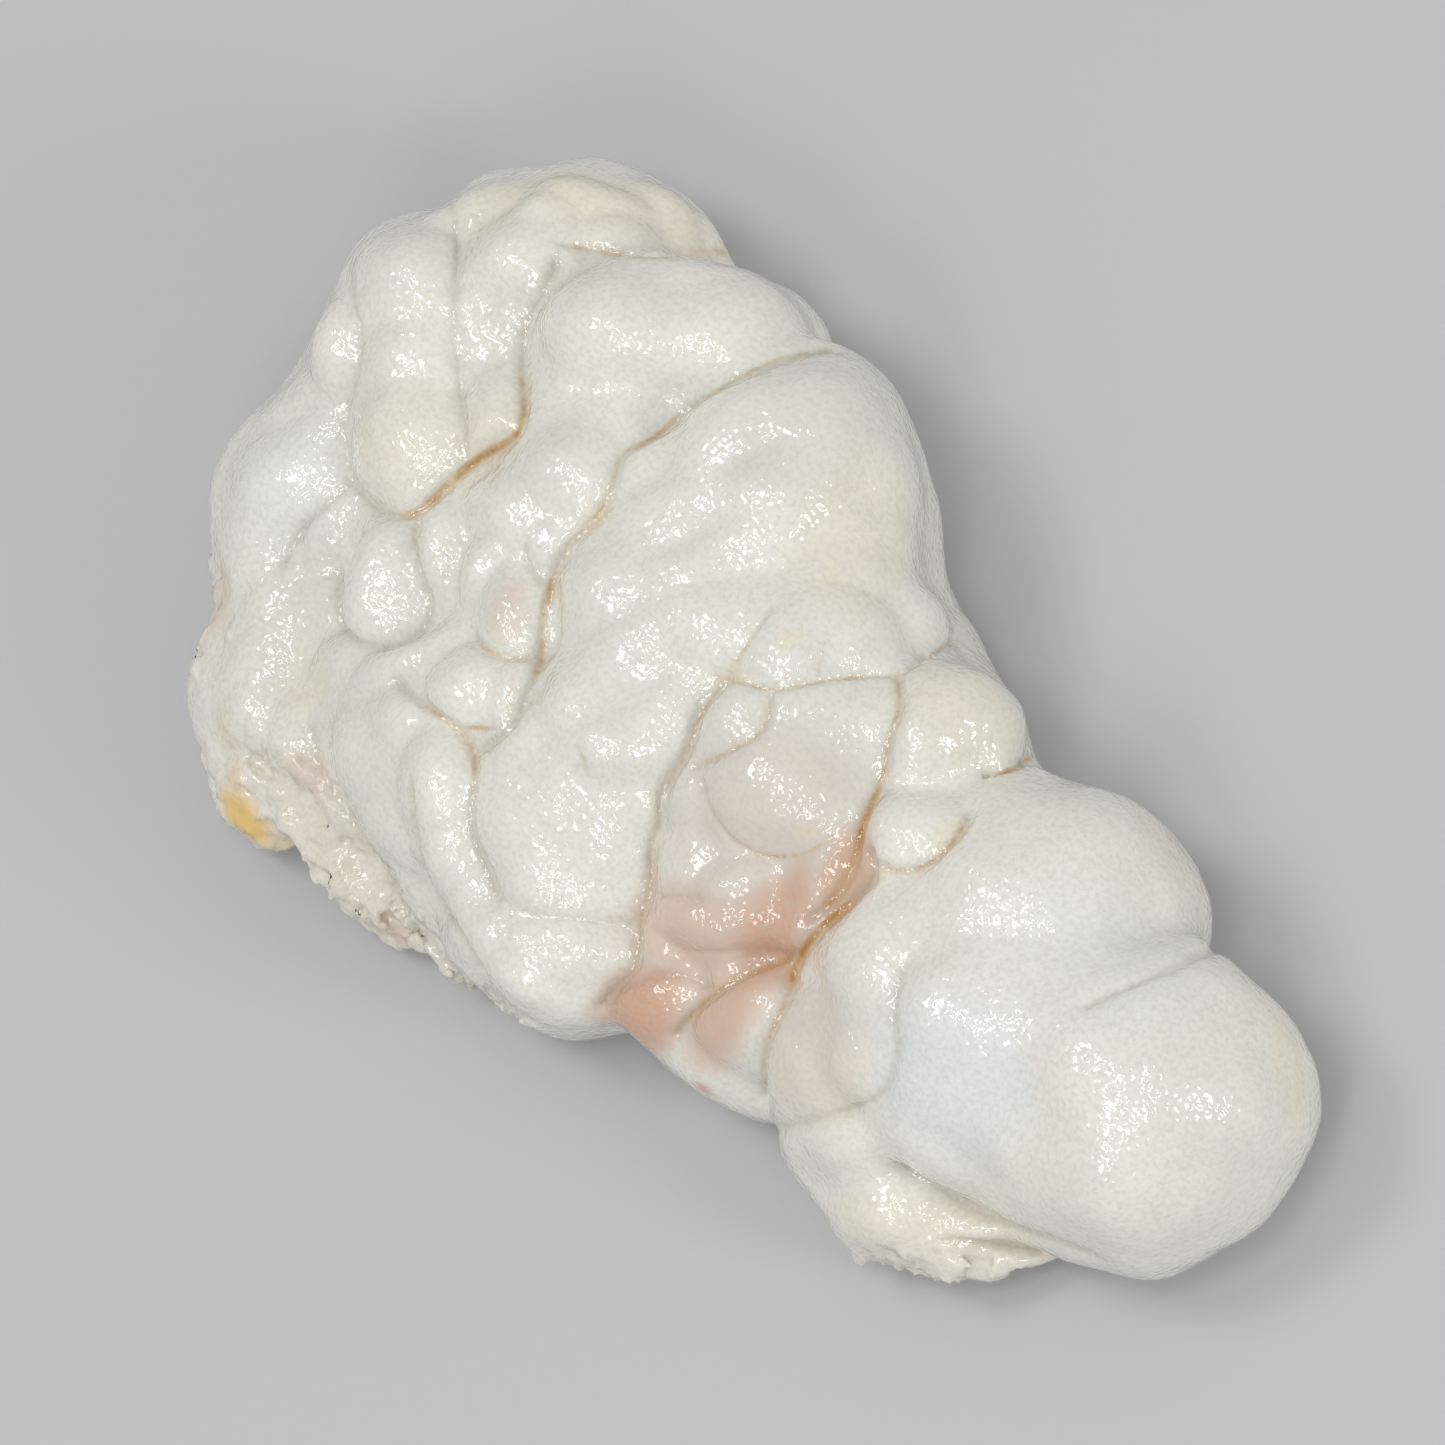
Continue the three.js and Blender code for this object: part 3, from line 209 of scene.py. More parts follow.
# %% Creases and their stains
# The line from place to place, how deep the crack is, and how deep the stone rounds down beside it. Then
# any stains: the numbers of the first and last stained place, the width and the strength.
CREASES = [
    # upper dome to shield
    ([(4.4, 14.9), (2.4, 14.6), (1, 14), (-0.4, 13.1), (-1.4, 12.6), (-2.1, 11.9), (-3, 11.2),
      (-4.1, 10.8), (-4.4, 9.6), (-4.8, 8.5), (-5.4, 7.8), (-6.1, 7.2), (-6.5, 6.3), (-6.9, 5.4),
      (-7.1, 4), (-7.2, 2.6), (-7.6, 1.6), (-8, 0.6), (-8.4, -0.2), (-9.8, -1.2)], 0.45, 0.35,
      (4, 7, 0.11, 0.6), (7, 12, 0.1, 0.5), (12, 16, 0.16, 1), (0, 4, 0.09, 0.35)),
    # right of and under the upper left block
    ([(-6.6, 18.4), (-7.2, 17.2), (-7.9, 16), (-8.1, 14.4), (-7.9, 12.8), (-8.1, 11.5), (-9.4, 10.8),
      (-10.3, 10.2), (-11.4, 9.1), (-12.2, 8.3), (-13.2, 8.3), (-14.2, 8.7), (-14.9, 9.8)], 0.5, 0.35,
      (3, 5, 0.14, 0.6), (4, 10, 0.17, 1)),
    # inside the upper left block
    ([(-10.9, 21), (-10.6, 19.4), (-10.7, 17.8), (-10.8, 16), (-10.6, 14.2), (-10.4, 12.6), (-10.3, 11.2),
      (-10.2, 10.4)], 0.14, 0.28),
    # left of the upper left block
    ([(-14.8, 18.6), (-14.8, 17), (-14.4, 15.6), (-14.6, 14), (-15.1, 12.4), (-15.1, 10.8), (-14.9, 9.8)],
      0.1, 0.25),
    # across the left flank
    ([(-17.6, 6.2), (-16.8, 7.8), (-15.9, 8.8), (-14.9, 9.6)], 0.1, 0.35),
    # round the egg on the plateau
    ([(-12.2, 8.3), (-12.3, 7.1), (-12, 5.8), (-11.6, 4.8), (-11.9, 3.8), (-12.8, 3.1), (-13.8, 3),
      (-14.9, 3.3), (-15.4, 4.4), (-15.4, 6)], 0.25, 0.3),
    # beside the plateau's right knob
    ([(-7.9, 7), (-7.8, 6.4), (-7, 5.4)], 0.2, 0.2),
    # under the plateau's right knob
    ([(-9.9, 3.4), (-9.2, 2.7), (-8.2, 2.5), (-7.3, 2.6)], 0.25, 0.25, (0, 3, 0.11, 0.45)),
    # foot of the plateau
    ([(-10.6, -0.2), (-9.6, -0.2), (-8.6, -0.3)], 0.1, 0.2, (0, 2, 0.12, 0.5)),
    # beside the plateau's last knob
    ([(-8.2, 2.4), (-8.5, 1.2), (-8.6, 0)], 0.05, 0.1, (0, 2, 0.11, 0.3)),
    # above and left of the lower dome
    ([(-13, 1.6), (-12.2, 0.9), (-11.2, 0.2), (-10.3, -0.5), (-9.9, -1.2), (-9.9, -2.2), (-10.1, -3.4),
      (-10, -4.6), (-9.4, -5.8), (-9, -7)], 0.3, 0.35, (1, 6, 0.14, 0.5)),
    # under the lower dome
    ([(-9, -7), (-7.6, -7.7), (-5.6, -7.9), (-3.5, -8.1)], 0.05, 0.25),
    # between the two lower ridges
    ([(-12.5, -2.4), (-12.4, -3.8), (-12.1, -5.2), (-11.6, -6.6), (-10.6, -8.2), (-9.6, -9.8)], 0.15, 0.3),
    # lower ridge to broken rim
    ([(-16.5, -0.2), (-16.2, -1.6), (-15.4, -3), (-14.3, -4.7), (-13.3, -6), (-12.9, -7.2), (-11.9, -8.6),
      (-10.4, -10.2), (-9.4, -11.2)], 0.2, 0.4),
    # pit above the lower dome
    ([(-5.8, -1), (-5.5, -1.5), (-5.5, -1.9)], 0.12, 0.1, (0, 2, 0.11, 0.5)),
    # shield to middle lobe
    ([(0.2, 1.7), (-0.5, 0.9), (-1, 0), (-1.4, -1.2), (-2, -2.2), (-2.5, -3), (-2.5, -4), (-2.9, -4.8),
      (-2.8, -6), (-2.9, -6.8), (-3.3, -7.8), (-3.3, -9), (-3.5, -9.8), (-4.8, -11.2)], 0.45, 0.3,
      (0, 5, 0.1, 0.4), (5, 12, 0.11, 0.35)),
    # top of the middle lobe
    ([(-0.2, 1.8), (0.8, 1.6), (2, 1.2), (3.8, 1.6), (5.5, 1.8), (7.1, 1.8), (8, 2.4), (9.2, 3.3)], 0.22,
      0.1, (0, 7, 0.1, 0.45)),
    # right of the middle lobe
    ([(7, 1.8), (7.1, 0.6), (6.6, -0.6), (6.4, -2.2), (6, -3.2), (5.6, -4), (5.4, -5), (5, -6.2),
      (4.5, -7.1), (3.6, -7.8)], 0.45, 0.3, (0, 4, 0.1, 0.6), (3, 7, 0.16, 1), (6, 9, 0.12, 0.7)),
    # middle lobe to finger
    ([(5.9, -5.2), (6.1, -6.2), (5.4, -7), (4.2, -7.9), (3.4, -8.8), (2.9, -9.7), (2.7, -10.8),
      (2.1, -12), (1.6, -13.2), (1.7, -14.8)], 0.45, 0.35, (2, 6, 0.18, 1), (5, 8, 0.11, 0.4)),
    # across the pink recess
    ([(3, -9.2), (1.6, -9.8), (0.2, -10.5), (-0.9, -11.3), (-1.8, -12.4)], 0.3, 0.3,
      (0, 4, 0.11, 0.55)),
    # top of the pink recess
    ([(-4.6, -10.9), (-3.4, -10.4), (-2.2, -10), (-1.2, -10.2), (-0.4, -10.6)], 0.15, 0.2),
    # round the small bead
    ([(1.9, 1.1), (1.8, -0.2), (0.8, -0.9), (-0.2, -1.4), (-1, -1.8)], 0.25, 0.15, (0, 4, 0.09, 0.4)),
    # arc under the middle dome
    ([(-0.7, -2.4), (-0.4, -3.6), (0.4, -4.6), (1.6, -5.3), (2.8, -5.4), (4, -4.9), (5, -3.9)], 0.12,
      0.15, (1, 6, 0.09, 0.45)),
    # lower left of the middle lobe
    ([(-2.9, -6.9), (-1.9, -6.9), (-0.9, -7)], 0.1, 0.15),
    # foot of the middle lobe
    ([(-2.6, -8.4), (-1.6, -9), (-0.4, -9.1), (1, -9)], 0.08, 0.08),
    # under the small right lobe
    ([(6.1, -5.6), (7.2, -6), (8.4, -5.6), (9.3, -4.7), (9.8, -3.7)], 0.25, 0.3, (0, 4, 0.11, 0.6)),
    # small right lobe to finger
    ([(10.6, -2.2), (11.6, -1.9), (12.4, -1.3)], 0.25, 0.25, (0, 2, 0.14, 0.8)),
    # fold at the far top
    ([(-6.6, 19.2), (-5, 18.9), (-3.6, 18.6), (-2, 18.6), (-0.8, 19), (0.4, 18.8)], 0.12, 0.16,
      (0, 5, 0.17, 0.4)),
    # over the skirt
    ([(7.2, -17.6), (8.8, -18.7), (10.4, -19.6), (12.4, -20.3), (14.6, -21.1)], 0.25, 0.35),
    # under the ledge of the skirt
    ([(8.8, -20.6), (10.6, -20.7), (12.6, -21)], 0.2, 0.3),
    # between the two ends of the finger
    ([(19.9, -9), (18.2, -9.6), (16.4, -10.4), (14.6, -11.2)], 0.1, 0.3),
    # round the dull lobe
    ([(2.2, -16.2), (3.6, -15.9), (5.2, -15.4), (6.6, -14.7), (7, -13.2), (6.8, -11.4), (7.2, -9.8)],
      0.12, 0.25),
    # first crack in the foot of the shield
    ([(1.9, 4.4), (1, 3.1), (0.2, 1.9)], 0.12, 0.08, (0, 2, 0.09, 0.4)),
    # second crack in the foot of the shield
    ([(4.1, 3.2), (3.9, 2.4), (3.8, 1.6)], 0.12, 0.05, (0, 2, 0.08, 0.4)),
]
print(len(CREASES), "creases")

# %% [markdown]
# ## One distance field
# A distance field gives, for any point, how far it is outside the solid, and less than zero inside.
# The lesser of two distances is both solids together. Blended where they are nearly equal, they join
# in a soft saddle, as where two opal lobes grew into each other. Blender's metaballs do something like
# this, but they can't hold a sharp crease.

# %% Soft joins and ovals
TINY = 1e-9


def soft_lesser(a, b, blend):
    share = np.maximum(blend - np.abs(a - b), 0) / blend
    return np.minimum(a, b) - share * share * blend / 4


def soft_greater(a, b, blend):
    return -soft_lesser(-a, -b, blend)


def unit(vector):
    return vector / np.linalg.norm(vector, axis=-1, keepdims=True)


def oval(middle, facing, half_long, half_short, half_deep, turned):
    """An ellipsoid: its middle, and three axes, each divided by its half width."""
    out = unit(np.asarray(facing, float))
    angle = math.radians(turned)
    heading = np.array([math.cos(angle), math.sin(angle), 0.0])
    along = unit(heading - out * (heading @ out))
    rows = np.array([along / half_long, np.cross(out, along) / half_short, out / half_deep])
    return np.asarray(middle, float), rows


def oval_distance(points, shape):
    middle, rows = shape
    scaled = (points - middle) @ rows.T
    reach = np.sqrt((scaled * scaled).sum(-1)) + TINY
    slope = scaled @ rows
    return reach * (reach - 1) / (np.sqrt((slope * slope).sum(-1)) + TINY)


print("a blend over 1 mm fills a corner by", -soft_lesser(0.0, 0.0, 1.0), "mm")

# %% The plain body
MASS_BLEND = 5.0
LOBE_BLEND = 1.0
WARP_DEPTH, SHORT_WAVE_SHARE = 0.22, 0.6
# A row each for right, up and depth: how fast the wave turns along right, up and depth, and its start.
LONG_WAVES = [(0, 0.62, 0, 1.3), (0, 0, 0.682, 0.7), (0.558, 0, 0, 2.9)]
SHORT_WAVES = [(0.4, 0, 1.178, 2.1), (1.302, 0, 0.5, 0.3), (0.4, 1.116, 0, 1.1)]


def waves(points, rows):
    rows = np.array(rows)
    return np.sin(points @ rows[:, :3].T + rows[:, 3])


def warped(points):
    """Slow waves that take the ruled look off the ovals."""
    return points + WARP_DEPTH * (waves(points, LONG_WAVES) + SHORT_WAVE_SHARE * waves(points, SHORT_WAVES))


masses = [
    oval(place_at(right, up, height), UPWARDS, long, short, tall, LENGTH_TURN)
    for right, up, long, short, tall, height in MASSES
]
lobes = [
    oval(place_at(right, up, height), SIGHT, long, short, deep, turned)
    for right, up, long, short, turned, deep, height in LOBES
]


def body_distance(points):
    place = warped(points)
    distance = oval_distance(place, masses[0])
    for mass in masses[1:]:
        distance = soft_lesser(distance, oval_distance(place, mass), MASS_BLEND)
    for lobe in lobes:
        distance = soft_lesser(distance, oval_distance(place, lobe), LOBE_BLEND)
    return distance


print("distance at the middle of the view:", body_distance(np.zeros((1, 3))).round(2), "mm")

# %% [markdown]
# ## Knobs, hollows and creases
# A knob has to stand square on the skin it grew from, wherever that skin faces. So its place in the
# table is only right and up. A ray marched down the line of sight finds the skin there, and the slope
# of the field gives the direction that the knob faces. Creases are lines of such places. Their depth
# falls away on both sides like a cusp, which keeps a fine sharp line at the bottom.

# %% Places on the skin
START_DEPTH, MARCH_STEPS = 30.0, 90
MARCH_SHARE, MARCH_BACK, MARCH_ON = 0.7, -2, 6
SLOPE_STEP = 0.05


def places_on(places, distance_to):
    """Marches down the line of sight from above, to the places on the skin."""
    points = np.column_stack([np.asarray(places, float), np.full(len(places), START_DEPTH)])
    for _ in range(MARCH_STEPS):
        points[:, 2] -= MARCH_SHARE * np.clip(distance_to(points), MARCH_BACK, MARCH_ON)
    return points


def slope_at(points, distance_to):
    return np.column_stack([
        (distance_to(points + offset) - distance_to(points - offset)) / (2 * SLOPE_STEP)
        for offset in SLOPE_STEP * np.eye(3)
    ])


print("depth of the skin at the middle:", places_on([(0, 0)], body_distance)[0, 2].round(2), "mm")

# %% Knobs and hollows on the skin
KNOB_BLEND, KNOB_RISE_SHARE, KNOB_FLOOR, KNOB_SKIRT, KNOB_REACH = 0.3, 0.8, 0.3, 0.9, 1.5
FAR_BELOW = -9.0


def seated_ovals(table):
    middles = places_on([row[:2] for row in table], body_distance)
    facings = slope_at(middles, body_distance)
    return [
        (oval(middle, facing, long, short, KNOB_REACH * max(long, short), turned), amount)
        for middle, facing, (_, _, long, short, turned, amount) in zip(middles, facings, table)
    ]


def share_of(points, shape):
    """1 at the middle of an oval, 0 at its rim, and less outside."""
    middle, rows = shape
    scaled = (points - middle) @ rows.T
    return 1 - (scaled * scaled).sum(-1)


def near_to(points, middles, reaches):
    """Numbers of the spheres that touch the box round these points."""
    gap = np.maximum(np.maximum(points.min(0) - middles, middles - points.max(0)), 0)
    return np.flatnonzero((gap * gap).sum(1) < np.square(reaches))


knobs = seated_ovals(KNOBS)
hollows = seated_ovals(HOLLOWS)
knob_middles = np.array([shape[0] for shape, _ in knobs])
knob_reaches = [
    KNOB_REACH * max(long, short) * math.sqrt(1 + (KNOB_FLOOR + KNOB_SKIRT) / (KNOB_RISE_SHARE * rise))
    for _, _, long, short, _, rise in KNOBS
]


def knobbed_distance(points):
    relief = np.full(len(points), FAR_BELOW)
    for n in near_to(points, knob_middles, knob_reaches):
        shape, rise = knobs[n]
        relief = soft_greater(relief, KNOB_RISE_SHARE * rise * share_of(points, shape), KNOB_BLEND)
    relief = soft_greater(relief, -KNOB_FLOOR, KNOB_SKIRT)
    depths = [amount * np.maximum(share_of(points, shape), 0) ** 2 for shape, amount in hollows]
    return body_distance(points) - relief + sum(depths)


print(len(knobs), "knobs and", len(hollows), "hollows seated")

# %% Creases on the skin
CRACK_WIDTH, LIP_WIDTH = 0.16, 0.5
CREASE_REACH = 2.5
CORNER_CUT = 0.25


def from_line(points, start, end):
    """Offsets of points from the nearest place on a straight line between two ends."""
    run = end - start
    share = np.clip((points - start) @ run / (run @ run), 0, 1)
    return points - start - share[:, None] * run


def rounded(line):
    """Cuts the corners of a line twice, so that it bends softly and lies close on the skin."""
    line = np.asarray(line, float)
    near, far = 1 - CORNER_CUT, CORNER_CUT
    for _ in range(2):
        start, end = line[:-1], line[1:]
        cuts = np.stack([near * start + far * end, far * start + near * end], axis=1)
        line = np.concatenate([line[:1], cuts.reshape(-1, line.shape[1]), line[-1:]])
    return line


def distance_to_line(points, line):
    nearest = np.full(len(points), np.inf)
    for start, end in zip(line[:-1], line[1:]):
        offset = from_line(points, start, end)
        nearest = np.minimum(nearest, (offset * offset).sum(1))
    return np.sqrt(nearest)


creases = [(places_on(rounded(line), knobbed_distance), crack, lip) for line, crack, lip, *_ in CREASES]
crease_middles = np.array([line.mean(0) for line, *_ in creases])
crease_reaches = [CREASE_REACH + np.linalg.norm(line - line.mean(0), axis=1).max() for line, *_ in creases]


def crease_depth(points):
    deepest = np.zeros(len(points))
    for n in near_to(points, crease_middles, crease_reaches):
        line, crack, lip = creases[n]
        away = distance_to_line(points, line)
        deepest = np.maximum(deepest, crack * np.exp(-away / CRACK_WIDTH) + lip * np.exp(-away / LIP_WIDTH))
    return deepest


print(sum(len(line) for line, *_ in creases), "places along the creases")

# %% [markdown]
# ## Grain: pebbles, broken faces and the far side
# Opal crusts are pebbly at every scale. Seed points are scattered, one in each cube of a grid, and the
# field swells round each. On the broken edge the nearest seed tilts a flat piece of skin its own way,
# which gives small hackly faces. The picture doesn't show the far flanks, so they carry plain lumps.

# %% Pebbles and grains
PEBBLE_SIZE, PEBBLE_RISE, PEBBLE_SEED = 2.3, 0.22, 5
GRAIN_SIZE, GRAIN_RISE, GRAIN_SEED = 0.95, 0.06, 9
CELL_SHARPNESS = 5
# Numbers with no pattern, so that neighbouring cubes get unlike values.
CUBE_TURNS, SEED_TURN, STRETCH = [127.1, 311.7, 74.7], 19.19, 43758.5453


def scatter(cube, seed):
    """A number from 0 to 1 for each cube of a grid, scattered but the same on each run."""
    value = np.sin((cube * CUBE_TURNS).sum(1) + seed * SEED_TURN) * STRETCH
    return value - np.floor(value)


def seeds_near(points, size, seed):
    """Yields each near cube of the grid and the offset of the points from its seed point."""
    place = points / size
    corner = np.floor(place)
    for step in np.ndindex(3, 3, 3):
        cube = corner + np.array(step) - 1
        seed_point = np.column_stack([scatter(cube, seed + axis) for axis in range(3)])
        yield cube, place - cube - seed_point


def cells(points, size, seed):
    """Rounded cells: about 1 on a seed point, falling softly to 0 or less between."""
    offsets = (offset for _, offset in seeds_near(points, size, seed))
    near = sum(np.exp(-CELL_SHARPNESS * (offset * offset).sum(-1)) for offset in offsets)
    return 1 + np.log(near) / CELL_SHARPNESS


print("pebbles every", PEBBLE_SIZE, "mm, grains every", GRAIN_SIZE, "mm")

# %% Broken faces
BREAK_SIZE, BREAK_TILT, BREAK_SEED = 1.8, 0.4, 13
CHIP_SIZE, CHIP_TILT, CHIP_SEED = 0.8, 0.35, 41
BREAK_DEPTH, BREAK_HEIGHT, BREAK_HALF_DEPTH, BREAK_EDGE = 0.15, 3.0, 9.0, 1.6
TILT_SEEDS = (3, 4, 5)


def broken_faces(points, size, seed):
    """Flat pieces round the seed points, each tilted its own way."""
    nearest = np.full(len(points), np.inf)
    value = np.zeros(len(points))
    for cube, offset in seeds_near(points, size, seed):
        squared = (offset * offset).sum(-1)
        tilt = np.column_stack([2 * scatter(cube, seed + which) - 1 for which in TILT_SEEDS])
        closer = squared < nearest
        value = np.where(closer, (tilt * offset).sum(-1), value)
        nearest = np.minimum(nearest, squared)
    return value


breaks = [
    oval(place_at(right, up, BREAK_HEIGHT), SIGHT, long, short, BREAK_HALF_DEPTH, turned)
    for right, up, long, short, turned in BREAKS
]


def break_share(points):
    return np.max([np.clip(BREAK_EDGE * share_of(points, shape), 0, 1) for shape in breaks], axis=0)


def break_depth(points):
    share = break_share(points)
    depth = np.zeros(len(points))
    touched = share > 0
    near = points[touched]
    faces = BREAK_TILT * broken_faces(near, BREAK_SIZE, BREAK_SEED)
    chips = CHIP_TILT * broken_faces(near, CHIP_SIZE, CHIP_SEED)
    depth[touched] = share[touched] * (BREAK_DEPTH + faces + chips)
    return depth


print("broken faces every", BREAK_SIZE, "mm, chips every", CHIP_SIZE, "mm")

# %% Lumps on the far side
HIDDEN_LUMP_SIZE, HIDDEN_LUMP_RISE, HIDDEN_SEED = 4.4, 0.7, 31
HIDDEN_FROM, SEEN_FROM = -0.35, 0.15
# Ends of the long middle line: right, up, height above the ground.
SPINE_ENDS = [(-7, 7, 5), (15, -13, 5)]


def smooth_step(value, low, high):
    share = np.clip((value - low) / (high - low), 0, 1)
    return share * share * (3 - 2 * share)


spine = np.array([place_at(*end) for end in SPINE_ENDS])


def hidden_share(points):
    outward = unit(from_line(points, spine[0], spine[1]) + TINY)
    return 1 - smooth_step(outward[:, 2], HIDDEN_FROM, SEEN_FROM)


print("lumps every", HIDDEN_LUMP_SIZE, "mm")

# %% [markdown]
# ## The underside and the whole field
# The stone was broken off its rock, and it rests on the flat of that break. The cut is a second solid:
# everything above the ground. The greater of two distances keeps only what both solids share.

# %% The whole stone as one field
FOOT_MIDDLE, FOOT_HALF, FOOT_FADE, FOOT_BLEND = [3.0, -1.5], [13.0, 6.5], 0.8, 2.4
UNDERSIDE_LIFT, UNDERSIDE_UNEVEN = 1.8, 0.7
UNDERSIDE_LUMP_SIZE, UNDERSIDE_SEED = 5.5, 77
CHUNK = 4000


def underside_height(length, side):
    outside = np.hypot((length - FOOT_MIDDLE[0]) / FOOT_HALF[0], (side - FOOT_MIDDLE[1]) / FOOT_HALF[1])
    on_ground = np.column_stack([length, side, np.zeros(len(length))])
    uneven = 1 - UNDERSIDE_UNEVEN * cells(on_ground, UNDERSIDE_LUMP_SIZE, UNDERSIDE_SEED)
    return UNDERSIDE_LIFT * uneven * smooth_step(outside, 1, 1 + FOOT_FADE)


def stone_distance(places):
    """The distance of places that are given as length, side and height in the stone's frame."""
    points = places @ STONE_AXES
    distance = knobbed_distance(points) + crease_depth(points) + break_depth(points)
    distance -= PEBBLE_RISE * cells(points, PEBBLE_SIZE, PEBBLE_SEED)
    distance -= GRAIN_RISE * cells(points, GRAIN_SIZE, GRAIN_SEED)
    distance -= HIDDEN_LUMP_RISE * hidden_share(points) * cells(points, HIDDEN_LUMP_SIZE, HIDDEN_SEED)
    ground = underside_height(places[:, 0], places[:, 1]) - places[:, 2]
    return soft_greater(distance, ground, FOOT_BLEND)


def in_chunks(function, places):
    """Works through many places a few thousand at a time, so that far-off shapes can be left out."""
    return np.concatenate([function(places[start:start + CHUNK]) for start in range(0, len(places), CHUNK)])


print("the foot is", FOOT_HALF, "mm from its middle to its edge")

# %% [markdown]
# ## From field to mesh
# Marching cubes would give many sliver triangles, and Blender's remesh modifier needs a mesh to start
# from. In a surface net each grid cell that the skin passes through gets one point, and each grid edge
# that it crosses gets one four-sided face. The field is slow, so a coarse pass over the plain body
# first marks the blocks that the skin can be in.

# %% A grid round the stone
NET_STEP = 0.27
BLOCK = 4
GRID_START, GRID_END = [-28.0, -20.0], [42.0, 18.0, 18.0]

low = np.array(GRID_START + [-NET_STEP / 2])
high = np.array(GRID_END)
block_counts = np.ceil((high - low) / (NET_STEP * BLOCK)).astype(int)
counts = block_counts * BLOCK + 1


def grid_places(numbers, step):
    shape = counts if step == NET_STEP else block_counts + 1
    return low + step * np.column_stack(np.unravel_index(numbers, shape))


print("grid places along length, side and height:", counts)

# %% The blocks that the skin can be in
SKIN_REACH = 1.8

corner_numbers = np.arange(np.prod(block_counts + 1))
rough = in_chunks(body_distance, grid_places(corner_numbers, NET_STEP * BLOCK) @ STONE_AXES)
rough = rough.reshape(block_counts + 1)
corner_stack = [rough[a:a + block_counts[0], b:b + block_counts[1], c:c + block_counts[2]]
                for a, b, c in np.ndindex(2, 2, 2)]
lowest, highest = np.min(corner_stack, axis=0), np.max(corner_stack, axis=0)
crossed = (lowest < SKIN_REACH) & (highest > -SKIN_REACH)
heights = low[2] + NET_STEP * BLOCK * np.arange(block_counts[2])
crossed |= (heights < UNDERSIDE_LIFT + FOOT_BLEND) & (lowest < SKIN_REACH)
print(np.count_nonzero(crossed), "of", crossed.size, "blocks")

# %% The field in those blocks
CUBE = 2 * BLOCK
FAR_INSIDE, FAR_OUTSIDE = -9.0, 9.0

inside_guess = np.where(lowest < 0, FAR_INSIDE, FAR_OUTSIDE)
values = np.full(counts, FAR_OUTSIDE)
values[:-1, :-1, :-1] = np.kron(inside_guess, np.ones((BLOCK, BLOCK, BLOCK)))
wanted = np.zeros(counts, bool)
for a, b, c in np.ndindex(BLOCK + 1, BLOCK + 1, BLOCK + 1):
    blocks = np.argwhere(crossed) * BLOCK + np.array([a, b, c])
    wanted[tuple(blocks.T)] = True
numbers = np.flatnonzero(wanted)
in_cube = np.column_stack(np.unravel_index(numbers, counts)) // CUBE
numbers = numbers[np.lexsort(in_cube.T)]
flat_values = values.reshape(-1)
flat_values[numbers] = in_chunks(stone_distance, grid_places(numbers, NET_STEP))
print(len(numbers), "of", values.size, "grid places worked out")

# %% [markdown]
# A grid cell whose inside corners fall into two separate groups would pinch the skin to a point. Filling
# one more corner of such a cell keeps the skin one clean closed sheet, which exports and prints well.

# %% The cells that the skin would cross twice
CORNERS = [(n & 1, (n >> 1) & 1, (n >> 2) & 1) for n in range(8)]
EDGES = [(n, n + (1 << axis)) for n, corner in enumerate(CORNERS) for axis in range(3) if corner[axis] == 0]
ALL_INSIDE = (1 << len(CORNERS)) - 1


def is_whole(corners):
    reached = set(corners[:1])
    for _ in corners:
        reached |= {end for edge in EDGES if reached & set(edge) for end in edge if end in corners}
    return len(reached) == len(corners)


CROSSED_TWICE = np.array([
    not is_whole([n for n in range(8) if pattern >> n & 1])
    or not is_whole([n for n in range(8) if not pattern >> n & 1])
    for pattern in range(ALL_INSIDE + 1)
])
print(CROSSED_TWICE.sum(), "of", ALL_INSIDE + 1, "kinds of cell")

# %% Fill one more corner of such cells
JUST_INSIDE = -0.05


def at_corner(array, corner):
    return array[tuple(slice(offset, offset + size - 1) for offset, size in zip(corner, counts))]


def cell_patterns():
    bits = np.zeros(counts - 1, np.uint8)
    for n, corner in enumerate(CORNERS):
        bits |= (at_corner(values, corner) < 0).astype(np.uint8) << n
    return bits


filled = 0
while True:
    pinched = np.argwhere(CROSSED_TWICE[cell_patterns()])
    if len(pinched) == 0:
        break
    around = pinched[:, None, :] + np.array(CORNERS)[None, :, :]
    corner_values = values[tuple(np.moveaxis(around, -1, 0))]
    nearest = np.argmin(np.where(corner_values < 0, np.inf, corner_values), axis=1)
    chosen = around[np.arange(len(pinched)), nearest]
    values[tuple(chosen.T)] = JUST_INSIDE * NET_STEP
    filled += len(pinched)
print(filled, "corners filled")

# %% A point in each crossed cell
patterns = cell_patterns()
is_crossed = (patterns > 0) & (patterns < ALL_INSIDE)
cell_places = np.argwhere(is_crossed)
point_of_cell = np.full(counts - 1, -1)
point_of_cell[is_crossed] = np.arange(len(cell_places))

crossing_sum = np.zeros((len(cell_places), 3))
crossing_count = np.zeros(len(cell_places))
for a, b in EDGES:
    value_a = at_corner(values, CORNERS[a])[is_crossed]
    value_b = at_corner(values, CORNERS[b])[is_crossed]
    crosses = (value_a < 0) != (value_b < 0)
    share = np.where(crosses, value_a / np.where(crosses, value_a - value_b, 1), 0)
    place = np.array(CORNERS[a]) + share[:, None] * (np.array(CORNERS[b]) - np.array(CORNERS[a]))
    crossing_sum += place * crosses[:, None]
    crossing_count += crosses
net_points = low + NET_STEP * (cell_places + crossing_sum / crossing_count[:, None])
print(len(net_points), "points")

